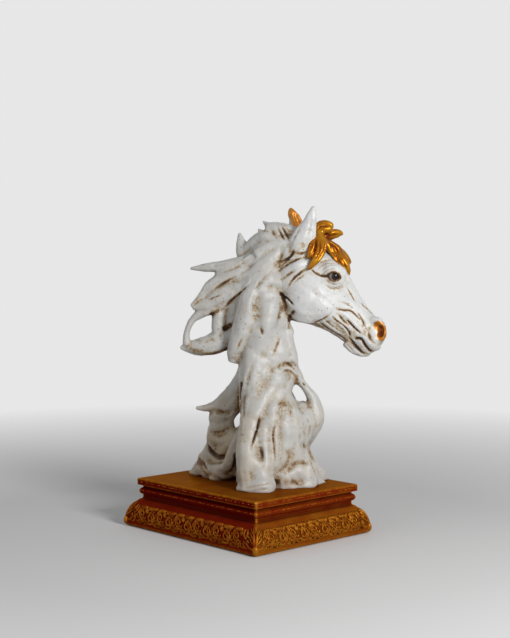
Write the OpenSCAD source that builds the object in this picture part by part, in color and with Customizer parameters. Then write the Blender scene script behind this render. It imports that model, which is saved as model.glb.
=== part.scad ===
// Book end: a horse's head and neck on drapery scrolls, cast in resin in several pieces that are
// pegged and bonded together, bolted down to a hollow moulded plinth with an iron weight inside.
// Millimetres. The felt lies on the shelf at z = 0, +Z is up, X runs along the plinth's long side.

/* [Plinth] */
// Length of the plinth's foot
plinth_l = 200; // [170:1:240]
// Depth of the plinth's foot
plinth_w = 160; // [140:1:200]
// Height of the upright toe
toe_h = 3.5; // [2:0.5:6]
// Height of the large round moulding
ovolo_h = 24; // [18:0.5:30]
// Distance the large moulding draws in from the foot
ovolo_in = 11; // [8:0.5:12]
// Height of the hollow over the large moulding
hollow_h = 4.5; // [3:0.5:6]
// Radius of the hollow over the large moulding
hollow_r = 2.2; // [1.5:0.1:2.8]
// Height of the half-round bead
bead_h = 7.5; // [5:0.5:10]
// Distance of the bead's crown in from the foot
bead_in = 10.3; // [9:0.1:12]
// Height of the recessed fillet under the slab
fillet_h = 2.5; // [1.5:0.5:4]
// Height of the top slab
slab_h = 7; // [5:0.5:10]
// Distance of the slab's edge in from the foot
slab_in = 9; // [7:0.5:11]
// Radius of the slab's upper and lower edges
slab_r = 1.2; // [0.6:0.1:2]
// Height of the carved scrolls over the large moulding
relief_h = 1.2; // [0.6:0.1:2]
// Distance between two carved scrolls
scroll_gap = 29; // [28:0.5:34]
// Outer radius of a carved scroll
scroll_r = 7.4; // [6:0.1:8]
// Width of a carved scroll's stem
scroll_w = 2.4; // [1.6:0.1:3]
// Thickness of the plinth's wall behind the hollow
wall_t = 6; // [4:0.5:10]
// Thickness of the plinth's top web
web_t = 10; // [7:0.5:14]

/* [Underside] */
// Thickness of the felt
felt_t = 2; // [1.5:0.5:4]
// Height the felt stands below the plinth's rim
felt_proud = 1; // [0.5:0.1:1.4]
// Gap between the felt's edge and the rebate
felt_gap = 1.5; // [0.5:0.5:4]
// Thickness of the base board
board_t = 3; // [2.5:0.5:6]
// Width of the ledge the base board bears on
ledge_w = 4; // [3:0.5:6]
// Fit gap round the base board
board_gap = 0.3; // [0.1:0.1:0.8]
// Radius of the corner bosses the board screws bite into
boss_r = 8; // [6:0.5:11]
// Diameter of a board screw's shank
screw_d = 3.2; // [2.5:0.1:4]
// Diameter of a board screw's countersunk head
screw_head_d = 6.4; // [5:0.1:8]
// Length of a board screw
screw_l = 16; // [10:1:24]

/* [Weight and bolts] */
// Length of the iron weight
weight_l = 130; // [120:1:136]
// Width of the iron weight
weight_w = 98; // [94:1:100]
// Thickness of the iron weight
weight_t = 20; // [12:1:21]
// Diameter of the tie bolts
bolt_d = 6; // [5:0.5:7]
// Diameter of the bolt clearance holes
bolt_hole_d = 6.6; // [5.6:0.1:8]
// Width across flats of the bolt heads
bolt_head_af = 10; // [8:0.5:11]
// Height of the bolt heads
bolt_head_h = 4; // [3:0.5:5]
// Distance between the two bolts
bolt_gap = 36; // [30:1:42]
// Distance of the bolts' midpoint forward of the plinth's centre
bolt_mid = 26; // [22:1:30]
// Outer diameter of the washers
washer_d = 14; // [12:0.5:18]
// Thickness of the washers
washer_t = 1.6; // [1:0.1:2.5]
// Width across flats of the hexagonal brass inserts
insert_af = 10; // [9:0.5:13]
// Length of the brass inserts
insert_l = 16; // [12:1:22]

/* [Bust] */
// Turn of the bust on the plinth
bust_turn = 45; // [38:1:52]
// Size of the bust against the size it was drawn at
bust_size = 1; // [0.9:0.01:1.1]
// Diameter of the glass eyes
eye_d = 13; // [12:0.5:15]
// Distance from the centre plane to the middle of an eye
eye_side = 21; // [20:0.5:22]
// Width of the square pegs between head and neck
head_peg_w = 6; // [4:0.5:8]
// Length of the square pegs between head and neck
head_peg_l = 36; // [24:1:44]
// Width of the square pegs between mane and neck
mane_peg_w = 4; // [3:0.5:6]
// Length of the square pegs between mane and neck
mane_peg_l = 24; // [16:1:28]
// Gap round a peg, insert or eye in its seat
seat_gap = 0.15; // [0.1:0.05:0.3]

/* [Hidden] */
$fa = 6;
$fs = 0.6;
// Overlap that keeps joined solids from meeting edge to edge
lap = 0.5;
// Height of the plinth's mouldings from the rim upwards
z_toe = felt_proud + toe_h;
z_ovolo = z_toe + ovolo_h;
z_hollow = z_ovolo + hollow_h;
z_bead = z_hollow + bead_h;
z_fillet = z_bead + fillet_h;
plinth_h = z_fillet + slab_h;
// Radius of the large moulding, upright where it leaves the toe
ovolo_r = (ovolo_in * ovolo_in + ovolo_h * ovolo_h) / (2 * ovolo_in);
// Deepest inset of the mouldings, and the cavity that keeps its wall behind it
deep_in = ovolo_in + hollow_r;
// Radius of the bead, which swells from the hollow's depth to its crown
bead_rise = deep_in - bead_in;
bead_r = (bead_h * bead_h / 4 + bead_rise * bead_rise) / (2 * bead_rise);
cavity_in = deep_in + wall_t;
cavity_l = plinth_l - 2 * cavity_in;
cavity_w = plinth_w - 2 * cavity_in;
board_z = felt_t;
ledge_z = board_z + board_t;
web_z = plinth_h - web_t;
weight_z = web_z - weight_t;
bolt_z = weight_z - washer_t;
insert_z = plinth_h + insert_l;
boss_x = cavity_l / 2 - boss_r / 2;
boss_y = cavity_w / 2 - boss_r / 2;
screw_head_h = (screw_head_d - screw_d) / 2;
// Heights of the carving's scrolls, fans and leaves over the toe, how deep it is rooted behind the
// toe's face, and how far it keeps behind that face
scroll_up = 0.4 * ovolo_h;
fan_up = 0.72 * ovolo_h;
leaf_up = 0.48 * ovolo_h;
carve_root = ovolo_in + 4;
toe_clear = 0.15;
// Length left for the corner leaves at both ends of a run of scrolls
corner_room = 40;
// Leaves of the carving: along the side and up
fan_leaves = [
    [-7, -4], [-9.5, 1], [-5, 0.4], [-4, 3.4], [0, 0.6], [2.5, 3.6], [4, 0], [9, 0.6], [4, -2.6],
    [-1, -2.2]
];
side_leaves = [
    [-4.5, -9.5], [-1.5, -5.5], [-4.6, -1], [-1.5, 1], [-3.6, 8], [0.6, 5.4], [4.6, 7], [2.4, 0],
    [4.4, -6]
];
corner_leaves = [
    [-2, 2.5], [-9, 2.5], [-15, 7], [-9.5, 7.5], [-13.5, 13], [-9, 13], [-13, 19.5], [-10.5, 21],
    [-6, 16], [-3.4, 10]
];
// Sides of a modelled strand, and rings between two rows of its table
strand_sides = 10;
strand_steps = 3;
// Sides of the trunk and the skull, and rings between two rows of their tables
body_sides = 24;
body_steps = 2;
// Facets of an eye socket
socket_sides = 24;
// Toe of a fold: height of its upright foot and of its crown, and how far the crown draws in
toe_foot_h = 2;
toe_crown_h = 4;
toe_taper = [0.7, 0.4];
// Blocks that part the bust reach past all of it, and fall this much forward under the jaw
cut_reach = 400;
jaw_fall = 0.6;

// Neck and trunk, upwards: height, middle forward, middle left, half length, half width
trunk_rows = [
    [0, 35, -5, 45, 39], [14, 31, -6, 40, 38], [30, 28, -6, 35, 36], [52, 23, -5, 30, 34],
    [80, 20, -3, 26, 31], [100, 21, -1, 27, 30], [125, 22, 0, 31, 30], [148, 16, 0, 30, 30],
    [172, 14, 0, 30, 29], [200, 18, 0, 27, 27], [222, 25, 0, 20, 21], [238, 33, 0, 11, 13]
];
// Head, poll to lips: forehead and nose line (x, z), jaw line (x, z), half width, egg shape
head_rows = [
    [50, 254, 26, 208, 20, 0], [68, 247, 34, 184, 26, 0.05], [86, 234, 44, 169, 29.5, 0.12],
    [101, 219, 54, 165, 29.5, 0.25], [111, 202, 65, 162, 26, 0.34], [120.5, 186, 79, 157, 21, 0.3],
    [129, 175, 91, 150.5, 17.5, 0.18], [136, 166, 101, 144, 16.5, 0.02],
    [142, 157, 105, 137, 17.5, -0.08], [142.5, 147, 112, 131, 16.5, -0.1],
    [138, 139, 122, 129.5, 10, 0]
];
// Strands: forward, left, up, half thickness across, half width in profile
near_folds = [
    [[18, -16, 132, 6, 8], [11, -26, 98, 10, 11], [5, -36, 64, 12, 11], [3, -44, 32, 13, 11],
     [6, -51, 0, 14, 12]],
    [[29, -16, 124, 6, 8], [24, -27, 88, 10, 9], [21, -36, 56, 11, 9], [19, -46, 26, 12, 9],
     [19, -53, 0, 13, 10]],
    [[38, -12, 108, 7, 9], [34, -26, 74, 12, 12], [34, -32, 46, 13, 13], [36, -34, 22, 13, 13],
     [39, -33, 0, 13, 12]],
    [[40, -6, 70, 8, 9], [52, -17, 40, 9, 9], [59, -24, 15, 11, 10], [62, -26, 0, 12, 12]]
];
far_folds = [
    [[15, 18, 124, 6, 8], [8, 28, 90, 8, 9], [3, 36, 58, 9, 9], [2, 43, 28, 10, 10], [4, 47, 0, 11, 11]],
    [[30, 18, 116, 6, 8], [31, 28, 76, 8, 9], [33, 34, 42, 9, 9], [35, 40, 0, 11, 11]],
    [[40, 6, 80, 8, 9], [51, 16, 44, 9, 9], [56, 22, 16, 10, 10], [58, 24, 0, 11, 11]]
];
// Muscles on one side of the neck, mirrored for the other
neck_muscles = [
    [[27, 16, 194, 4, 6], [25, 23, 182, 7, 10], [19, 26, 158, 7, 10.5], [12, 24, 120, 6, 8]],
    [[36, 7, 172, 8, 8], [40, 11, 146, 9, 9], [45, 10, 122, 9, 9], [38, 10, 92, 8, 8]],
    [[17, 8, 178, 9, 9], [15, 14, 154, 16, 16], [12, 16, 128, 17, 17], [9, 20, 106, 17, 16],
     [8, 22, 84, 14, 14], [8, 16, 58, 10, 10]],
    [[30, 6, 178, 8, 8], [28, 11, 154, 15, 15], [29, 13, 128, 16, 16], [28, 16, 106, 16, 16],
     [27, 18, 82, 14, 14], [28, 12, 56, 10, 10]],
    [[14, 10, 212, 7, 7], [9, 17, 196, 10, 10], [5, 19, 178, 11, 11], [2, 17, 152, 11, 11],
     [2, 10, 122, 9, 9]]
];
// Broad front of the drapery under the pierced scroll, on one side, mirrored for the other
front_drape = [
    [[35, 15, 99, 9, 8.6], [42, 22, 79, 12, 11], [46, 26, 62, 14, 13], [47, 28, 44, 13, 12],
     [49, 27, 24, 12, 12], [52, 27, 0, 12, 12]],
    [[54, 6, 79, 8, 8], [59, 12, 66, 12, 12], [57, 16, 52, 12, 11], [52, 20, 38, 11, 10],
     [56, 22, 20, 12, 11], [61, 24, 0, 13, 12]],
    [[68, 3, 84, 7, 6], [71, 4, 72, 9, 8], [69, 5, 60, 10, 8.5], [62, 7, 49, 10, 8], [53, 9, 38, 10, 8]]
];
chest_scroll = [
    [[44, -3, 120, 9, 9], [54, -3, 107, 7, 5.5], [61, -3, 97, 5.5, 3.6], [68, -2, 87, 7, 5.5],
     [72.5, -1, 75, 9, 7], [72.5, 0, 62, 10, 7.5], [66, 1, 50, 11, 8], [56, 2, 38, 12, 9]],
    [[30, -3, 62, 16, 15], [46, -2, 61, 12, 18], [58, -1, 61, 10, 18], [66, 0, 61, 9, 14]],
    [[44, -4, 77, 14, 10], [58, -3, 71, 12, 10], [67, -1, 60, 9, 9], [60, 0, 46, 10, 10]],
    [[46, 2, 48, 14, 14], [56, 4, 34, 13, 9], [62, 7, 20, 14, 9], [70, 10, 8, 14, 10], [75, 12, 0, 13, 10]]
];
rear_scroll = [
    [[4, 8, 126, 9, 9], [-3, 9, 108, 9, 8], [-13, 13, 92, 9, 8.5], [-27, 17, 78, 7, 7.5],
     [-40, 19, 73, 4.5, 4.5], [-53, 19, 73, 2, 1.6]],
    [[-6, 12, 92, 9, 12], [-25, 20, 67, 10, 14], [-30, 27, 48, 11, 13], [-31, 33, 30, 12, 14],
     [-40, 39, 13, 13, 14], [-48, 42, 0, 13, 13]],
    [[-50, 34, 3, 9, 9], [-32, 14, 6, 9, 9], [-17, -4, 14, 8, 9], [-9, -9, 34, 7, 8], [3, -6, 62, 6, 7]],
    [[6, 10, 50, 14, 14], [-12, 18, 38, 12, 14], [-20, 24, 20, 14, 16], [-24, 26, 0, 16, 16]]
];
// Gap between the rear scroll and the neck, in profile (forward, up), and its ends from side to side
rear_gap = [[-5, 71], [-13, 59], [-15.5, 52], [-13, 48.5], [-8, 54], [-4.5, 60]];
rear_gap_span = [-40, 60];
// Rounded toes of the folds on the plinth: forward, left, radius, height
hem_toes = [
    [5, -54, 12, 12], [18, -56, 11, 13], [39, -25, 11, 14], [61, -25, 14, 25], [75, 12, 11, 11],
    [58, 24, 12, 13], [35, 40, 12, 13], [4, 47, 13, 14], [-24, 30, 15, 13], [-48, 42, 14, 12], [-30, 8, 9, 10]
];
// One side of the face, mirrored for the other: cheek, brow, lower lid, nostril rim, upper and lower lip
face_forms = [
    [[46, 8, 198, 12, 16], [56, 14, 191, 15, 23], [67, 15.5, 187, 15, 25], [79, 13, 183, 12, 20],
     [88, 8, 180, 8, 12]],
    [[76, 18, 215, 4, 4], [84, 21, 218.5, 5, 3.5], [93, 20.5, 218, 4.5, 3.5], [101, 16, 213, 3, 3]],
    [[80, 19, 206, 3.5, 3], [89, 21, 204.5, 4, 3], [98, 18, 206, 3, 3]],
    [[126, 9, 166, 4, 4], [135, 12.5, 166, 4.5, 4], [140, 12, 158, 4, 3],
     [138, 12.5, 148, 4, 3.5], [130, 12, 147, 4, 4]],
    [[108, 10, 149, 4, 4], [120, 12, 143.5, 5, 4], [131, 10.5, 139.5, 5, 4.5], [136, 5, 140, 4, 4]],
    [[102, 8, 143, 4, 4], [110, 9.5, 137, 5, 4], [119, 8, 133, 5, 3.5], [125, 3, 132.5, 4, 3]]
];
near_ear = [
    [55, -15, 234, 8, 12], [57.5, -17, 246, 8, 12.5], [61, -19, 256, 7, 11],
    [65, -20, 267, 5, 7.5], [67.5, -20, 275, 3, 4], [68.5, -20, 281, 1.2, 1.4]
];
far_ear = [
    [54, 15, 234, 8, 11], [54, 17, 246, 8, 10], [52, 19, 257, 7, 9],
    [50, 20, 268, 5, 7], [47, 20, 276, 3, 4.4], [45, 20, 282, 1.2, 1.4]
];
near_ear_hollow = [
    [62, -12, 238, 3.5, 4], [65, -12.5, 255, 4.5, 5], [68, -15, 266, 3.2, 3.6], [69, -18, 275, 1, 1.2]
];
far_ear_hollow = [
    [60, 12, 238, 3.5, 4], [58, 12.5, 255, 4.5, 4.5], [54, 15, 267, 3.2, 3.6], [49.5, 18, 276, 1, 1.2]
];
mane_locks = [
    [[46, 0, 245, 12, 10], [25, 0, 229, 20, 17], [8, 0, 202, 21, 19], [-5, 0, 176, 17, 18],
     [-8, 0, 152, 12, 13]],
    [[54, 0, 250, 13, 8], [42, 0, 256, 13, 9], [30, 0, 258, 12, 9], [20, 0, 259, 8, 7]],
    [[36, -5, 242, 14, 10], [24, -4, 249, 12, 8], [13, -2, 250, 8, 6], [3, 3, 241, 6, 5.5],
     [-6, 6, 235, 4, 4]],
    [[46, 0, 246, 17, 10], [34, 0, 244, 18, 10], [22, 0, 240, 18, 10], [10, 0, 232, 16, 10]],
    [[10, -2, 227, 13, 12], [-10, -3, 218, 10, 9], [-30, -5, 211, 6, 5]],
    [[-24, -4, 184, 8, 8], [-28, -5, 168, 7, 6.5], [-28, -4, 152, 8, 7]],
    [[18, 4, 228, 9, 13], [1, 6, 234, 7, 11], [-4, 7, 242, 4.5, 7], [-6, 8, 250, 2.6, 3.4],
     [-7, 8, 256, 1.2, 1.2]],
    [[22, 0, 224, 17, 14], [0, 0, 222, 12, 11], [-20, -2, 221, 8, 7], [-40, -3, 220, 5, 4.5],
     [-57, -3, 219, 2, 1.6]],
    [[14, -4, 214, 17, 13], [-8, -5, 212, 11, 11], [-26, -6, 206, 8, 8.5], [-37, -7, 199, 6, 6.5],
     [-45, -8, 190, 4.5, 4.8], [-55.5, -9, 180.5, 1.8, 1.8]],
    [[-50, -3, 136.5, 7, 7], [-60, -4, 137.5, 4.5, 4.5], [-67, -5, 138.5, 1.5, 1.5]],
    [[8, -6, 200, 16, 13], [-12, -8, 196, 11, 11], [-29, -9, 189, 8, 9], [-42, -9, 182, 5.5, 6],
     [-54, -9, 179, 2, 2]],
    [[0, -2, 190, 14, 11], [-20, -4, 184, 10, 9], [-38, -5, 177, 7, 6], [-53, -5, 168, 5.5, 4.2],
     [-60, -5, 155, 5.5, 3.6], [-60, -4, 142, 7, 5.2], [-50, -3, 138.5, 9, 8.6], [-36, -3, 141, 11, 11],
     [-18, 0, 148, 12, 12.5], [0, 2, 158, 12, 12]],
    [[12, -14, 214, 5, 9], [5, -22, 184, 7, 12], [-2, -22.5, 154, 7, 12.5], [-9, -19, 137, 7, 9],
     [-13, -17, 124, 5, 5]],
    [[22, 11, 218, 6, 10], [-4, 18, 200, 8, 10], [-24, 20, 186, 5, 7], [-39, 19, 174, 1.8, 1.8]],
    [[9, 17, 206, 7, 10], [-4, 22, 178, 8, 10], [-13, 21, 150, 5, 6], [-20, 20, 138, 2, 2]]
];
forelock_locks = [
    [[66, -2, 246, 12, 8], [69, -6, 255, 9, 7], [75, -9, 260, 7, 5.5], [82, -9, 259, 6, 5],
     [86, -9, 256, 4, 3]],
    [[68, 4, 246, 11, 8], [77, 4, 251, 8, 6], [87, 4, 253.5, 6, 4], [98, 4, 254.5, 2, 1.5]],
    [[72, -10, 250, 9, 8], [76, -18, 244, 7, 6.5], [75, -24, 236, 5, 5.5], [70, -28, 227, 4, 4],
     [64, -29, 219, 1.8, 1.8]],
    [[66, -16, 248, 6, 6], [68, -22, 240, 5, 4.5], [65, -26, 232, 2.2, 2.2]],
    [[74, 2, 246, 12, 8], [87, 4, 239, 9, 7], [96, 4, 231, 7, 6], [101, 4, 223, 5.5, 5],
     [106, 4, 215, 2.2, 2]],
    [[90, 2, 238, 7, 6], [98, 3, 235, 5, 4], [104, 4, 228, 4, 3.2], [107, 4, 224, 2, 1.6]],
    [[74, 8, 246, 9, 8], [80, 18, 240, 7, 6], [82, 23, 232, 5, 5], [84, 25, 224, 2, 2]]
];
// Parting of the head from the neck: throat and crest end of the joint face
throat_cut = [42, 158];
crest_cut = [26, 276];
// Middle of an eye in profile
eye_x = 89.5;
eye_z = 211.5;
// Pegs between head and neck, as shares of the way from the throat to the crest
head_peg_at = [0.3, 0.62];
// Pegs between mane and neck: forward and up where the peg's middle sits
mane_peg_at = [[-4, 214], [-13, 190]];

// One row on the smooth curve through a table's rows, t rows from its start
function along(rows, t) =
    let (
        last = len(rows) - 1, i = min(floor(t), last - 1), f = t - i,
        a = rows[max(i - 1, 0)], b = rows[i], c = rows[i + 1], d = rows[min(i + 2, last)]
    )
    b + f / 2 * (c - a + f * (2 * a - 5 * b + 4 * c - d + f * (3 * (b - c) + d - a)));

// Direction of travel of a strand's middle line
function heading(rows, t) =
    let (
        a = along(rows, max(t - 0.05, 0)), b = along(rows, min(t + 0.05, len(rows) - 1)),
        d = [b[0] - a[0], b[1] - a[1], b[2] - a[2]]
    )
    d / norm(d);

// Oval ring of points round a strand, square to its direction of travel
function strand_ring(rows, t) =
    let (
        p = along(rows, t), d = heading(rows, t),
        flat = [0, 1, 0] - d[1] * d, side = flat / norm(flat), up = cross(d, side)
    )
    [for (j = [0 : strand_sides - 1]) let (a = 360 * j / strand_sides)
        bust_size * ([p[0], p[1], p[2]] + p[3] * cos(a) * side + p[4] * sin(a) * up)];

// Level ring of points round the trunk
function trunk_ring(t) =
    let (p = along(trunk_rows, t))
    [for (j = [0 : body_sides - 1]) let (a = 360 * j / body_sides)
        bust_size * [p[1] + p[3] * cos(a), p[2] + p[4] * sin(a), p[0]]];

// Egg-shaped ring of points round the head
function head_ring(t) =
    let (
        p = along(head_rows, t), top = [p[0], 0, p[1]], jaw = [p[2], 0, p[3]],
        mid = (top + jaw) / 2, up = (top - jaw) / 2
    )
    [for (j = [0 : body_sides - 1]) let (a = 360 * j / body_sides)
        bust_size * (mid + [0, p[4] * (1 - p[5] * sin(a)) * cos(a), 0] + sin(a) * up)];

// Closed skin over a stack of rings
module skin(rings) {
    sides = len(rings[0]);
    last = len(rings) - 1;
    points = [for (ring = rings) each ring];
    walls = [
        for (i = [0 : last - 1]) for (j = [0 : sides - 1])
            let (a = i * sides + j, b = i * sides + (j + 1) % sides)
                each [[a, b + sides, b], [a, a + sides, b + sides]]
    ];
    start = [for (j = [0 : sides - 1]) j];
    end = [for (j = [sides - 1 : -1 : 0]) last * sides + j];
    polyhedron(points, concat(walls, [start, end]));
}

// Tapering strand through the rows of a table
module strand(rows) {
    steps = (len(rows) - 1) * strand_steps;
    skin([for (i = [0 : steps]) strand_ring(rows, i / strand_steps)]);
}

module strands(tables) {
    for (rows = tables) strand(rows);
}

// What is modelled on the left, and its mirror image on the right
module both_sides() {
    for (side = [0, 1]) mirror([0, side, 0]) children();
}

// Rounded toe of a fold where it meets the plinth
module toe(row) {
    scale(bust_size) translate([row[0], row[1], 0]) hull() {
        cylinder(r = row[2], h = toe_foot_h, $fn = 18);
        translate([0, 0, row[3] - toe_crown_h])
            cylinder(r1 = row[2] * toe_taper[0], r2 = row[2] * toe_taper[1], h = toe_crown_h, $fn = 12);
    }
}

// Places what is modelled in the bust's own profile plane
module on_plinth() {
    translate([0, 0, plinth_h]) rotate(bust_turn) children();
}

// Everything below the plinth's top
module below_plinth() {
    reach = cut_reach * bust_size;
    translate([-reach / 2, -reach / 2, -reach]) cube([reach, reach, reach]);
}

// The neck's whole form, before it is parted from the head
module trunk_form() {
    difference() {
        union() {
            rings = (len(trunk_rows) - 1) * body_steps;
            skin([for (i = [0 : rings]) trunk_ring(i / body_steps)]);
            strands(near_folds);
            strands(far_folds);
            both_sides() strands(neck_muscles);
            both_sides() strands(front_drape);
            strands(chest_scroll);
            strands(rear_scroll);
            for (row = hem_toes) toe(row);
        }
        below_plinth();
        scale(bust_size) translate([0, rear_gap_span[1], 0]) rotate([90, 0, 0])
            linear_extrude(rear_gap_span[1] - rear_gap_span[0]) polygon(rear_gap);
    }
}

// The head's whole form, before it is parted from the neck
module skull_form() {
    rings = (len(head_rows) - 1) * body_steps;
    skin([for (i = [0 : rings]) head_ring(i / body_steps)]);
    both_sides() strands(face_forms);
    difference() {
        union() {
            strand(near_ear);
            strand(far_ear);
        }
        strand(near_ear_hollow);
        strand(far_ear_hollow);
    }
}

// The side of the joint face that belongs to the head
module head_side() {
    rise = (crest_cut - throat_cut) / (crest_cut[1] - throat_cut[1]);
    scale(bust_size) rotate([90, 0, 0]) linear_extrude(cut_reach, center = true)
        polygon([
            throat_cut, throat_cut + [cut_reach, -cut_reach * jaw_fall],
            throat_cut + [cut_reach, cut_reach], throat_cut + rise * cut_reach
        ]);
}

// Places a peg square to the joint face of the head
module at_head_pegs() {
    lean = atan2(throat_cut[0] - crest_cut[0], crest_cut[1] - throat_cut[1]);
    for (f = head_peg_at) {
        spot = bust_size * (throat_cut + f * (crest_cut - throat_cut));
        translate([spot[0], 0, spot[1]]) rotate([0, 90 - lean, 0]) children();
    }
}

module at_mane_pegs() {
    for (spot = mane_peg_at) translate(bust_size * [spot[0], 0, spot[1]]) rotate([0, -90, 0]) children();
}

module at_bolts() {
    for (s = [-1, 1]) rotate(bust_turn) translate([bolt_mid + s * bolt_gap / 2, 0, 0]) children();
}

module at_screws() {
    for (sx = [-1, 1]) for (sy = [-1, 1]) translate([sx * boss_x, sy * boss_y, 0]) children();
}

// Straight square peg centred on its middle, or its seat with a gap all round
module peg(w, l, gap = 0) {
    cube([w + 2 * gap, w + 2 * gap, l + 2 * gap], center = true);
}

// Hexagonal length standing on z = 0, or its seat with a gap all round
module hexagon(af, h, gap = 0) {
    cylinder(d = (af + 2 * gap) / cos(30), h = h + gap, $fn = 6);
}

module eye_ball(side, d) {
    translate([bust_size * eye_x, side * bust_size * eye_side, bust_size * eye_z]) sphere(d = d);
}

// One side of the plinth's moulded outline, standing on the rim
module half_outline(half) {
    ovolo_edge = half - ovolo_in;
    deep_edge = half - deep_in;
    slab_edge = half - slab_in;
    translate([0, felt_proud]) square([half, toe_h]);
    translate([0, z_toe]) square([ovolo_edge, ovolo_h]);
    intersection() {
        translate([half - ovolo_r, z_toe]) circle(ovolo_r);
        translate([half - 2 * ovolo_in, z_toe]) square([2 * ovolo_in, ovolo_h]);
    }
    difference() {
        translate([0, z_ovolo]) square([ovolo_edge, hollow_h]);
        translate([ovolo_edge, z_hollow]) circle(hollow_r);
    }
    translate([0, z_hollow]) square([deep_edge, bead_h + fillet_h]);
    intersection() {
        translate([half - bead_in - bead_r, z_hollow + bead_h / 2]) circle(bead_r);
        translate([deep_edge - bead_rise, z_hollow]) square([2 * bead_rise, bead_h]);
    }
    translate([0, z_fillet]) square([slab_edge - slab_r, slab_h]);
    translate([0, z_fillet + slab_r]) square([slab_edge, slab_h - 2 * slab_r]);
    for (z = [z_fillet + slab_r, plinth_h - slab_r]) translate([slab_edge - slab_r, z]) circle(slab_r);
}

module outline(half) {
    half_outline(half);
    mirror([1, 0]) half_outline(half);
}

// Hollow under the web, with a boss left standing in each corner
module cavity() {
    translate([0, 0, ledge_z - lap]) linear_extrude(web_z - ledge_z + lap) difference() {
        square([cavity_l, cavity_w], center = true);
        for (sx = [-1, 1]) for (sy = [-1, 1]) {
            translate([sx * boss_x, sy * boss_y]) circle(boss_r);
        }
    }
}

// Scrolls and leaves of one side, as they are drawn on a sheet: along the side, and up from the toe
module carved_pattern(l) {
    spans = floor((l - corner_room) / scroll_gap) - 1;
    end = spans * scroll_gap / 2;
    for (i = [0 : spans]) translate([i * scroll_gap - end, 0]) {
        translate([0, scroll_up]) difference() {
            circle(scroll_r);
            circle(scroll_r - scroll_w);
            rotate(190) square([2 * scroll_r, 1.6 * scroll_w]);
        }
        translate([0.3 * scroll_r, scroll_up]) circle(0.8 * scroll_w);
        translate([0, fan_up]) polygon(fan_leaves);
    }
    for (i = [0 : spans + 1]) translate([(i - 0.5) * scroll_gap - end, leaf_up]) polygon(side_leaves);
    for (side = [0, 1]) mirror([side, 0]) translate([l / 2, 0]) polygon(corner_leaves);
}

// Carving of the side that faces -Y: the pattern pressed through a raised skin of the large moulding.
// It ends just behind the face of the toe.
module carved_side(l, half) {
    intersection() {
        translate([0, carve_root - half, z_toe]) rotate([90, 0, 0])
            linear_extrude(carve_root - toe_clear) carved_pattern(l);
        translate([0, ovolo_r - half, z_toe]) rotate([90, 0, 90])
            linear_extrude(l, center = true) circle(ovolo_r + relief_h);
    }
}

module carving() {
    for (turn = [0, 180]) rotate(turn) {
        carved_side(plinth_l, plinth_w / 2);
        rotate(90) carved_side(plinth_w, plinth_l / 2);
    }
}

module plinth_casting() {
    color("darkgoldenrod") difference() {
        union() {
            intersection() {
                rotate([90, 0, 0]) linear_extrude(plinth_w, center = true) outline(plinth_l / 2);
                rotate([90, 0, 90]) linear_extrude(plinth_l, center = true) outline(plinth_w / 2);
            }
            carving();
        }
        cavity();
        translate([-cavity_l / 2 - ledge_w, -cavity_w / 2 - ledge_w, felt_proud - lap])
            cube([cavity_l + 2 * ledge_w, cavity_w + 2 * ledge_w, ledge_z - felt_proud + lap]);
        at_bolts() translate([0, 0, web_z - lap]) cylinder(d = bolt_hole_d, h = web_t + 2 * lap);
        at_screws() translate([0, 0, ledge_z - lap]) cylinder(d = screw_d, h = screw_l - board_t + lap);
    }
}

module ballast_weight() {
    color("dimgray") difference() {
        translate([-weight_l / 2, -weight_w / 2, weight_z]) cube([weight_l, weight_w, weight_t]);
        at_bolts() translate([0, 0, weight_z - lap]) cylinder(d = bolt_hole_d, h = weight_t + 2 * lap);
    }
}

module tie_bolts() {
    color("silver") at_bolts() {
        translate([0, 0, bolt_z - bolt_head_h]) hexagon(bolt_head_af, bolt_head_h);
        translate([0, 0, bolt_z]) cylinder(d = bolt_d, h = insert_z - bolt_z);
    }
}

module bolt_washers() {
    color("gainsboro") at_bolts() translate([0, 0, bolt_z]) difference() {
        cylinder(d = washer_d, h = washer_t);
        translate([0, 0, -lap]) cylinder(d = bolt_hole_d, h = washer_t + 2 * lap);
    }
}

module bust_inserts() {
    color("goldenrod") at_bolts() translate([0, 0, plinth_h]) difference() {
        hexagon(insert_af, insert_l);
        translate([0, 0, -lap]) cylinder(d = bolt_d, h = insert_l + 2 * lap);
    }
}

module base_board() {
    color("peru") difference() {
        translate([-cavity_l / 2 - ledge_w + board_gap, -cavity_w / 2 - ledge_w + board_gap, board_z])
            cube([cavity_l + 2 * (ledge_w - board_gap), cavity_w + 2 * (ledge_w - board_gap), board_t]);
        at_screws() {
            translate([0, 0, board_z - lap]) cylinder(d = screw_d, h = board_t + 2 * lap);
            translate([0, 0, board_z]) cylinder(d1 = screw_head_d, d2 = screw_d, h = screw_head_h);
        }
    }
}

module board_screws() {
    color("silver") at_screws() {
        translate([0, 0, board_z]) cylinder(d1 = screw_head_d, d2 = screw_d, h = screw_head_h);
        translate([0, 0, board_z]) cylinder(d = screw_d, h = screw_l);
    }
}

module felt_pad() {
    inset = ledge_w - felt_gap;
    color("darkgreen") translate([-cavity_l / 2 - inset, -cavity_w / 2 - inset, 0])
        cube([cavity_l + 2 * inset, cavity_w + 2 * inset, felt_t]);
}

module neck_casting() {
    color("ivory") difference() {
        on_plinth() difference() {
            union() {
                trunk_form();
                skull_form();
            }
            head_side();
            at_head_pegs() peg(head_peg_w, head_peg_l, seat_gap);
            at_mane_pegs() peg(mane_peg_w, mane_peg_l, seat_gap);
        }
        at_bolts() translate([0, 0, plinth_h - lap]) hexagon(insert_af, insert_l + lap, seat_gap);
    }
}

module head_casting() {
    color("floralwhite") on_plinth() difference() {
        intersection() {
            union() {
                trunk_form();
                skull_form();
            }
            head_side();
        }
        at_head_pegs() peg(head_peg_w, head_peg_l, seat_gap);
        for (side = [-1, 1]) eye_ball(side, eye_d + 2 * seat_gap, $fn = socket_sides);
    }
}

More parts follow.
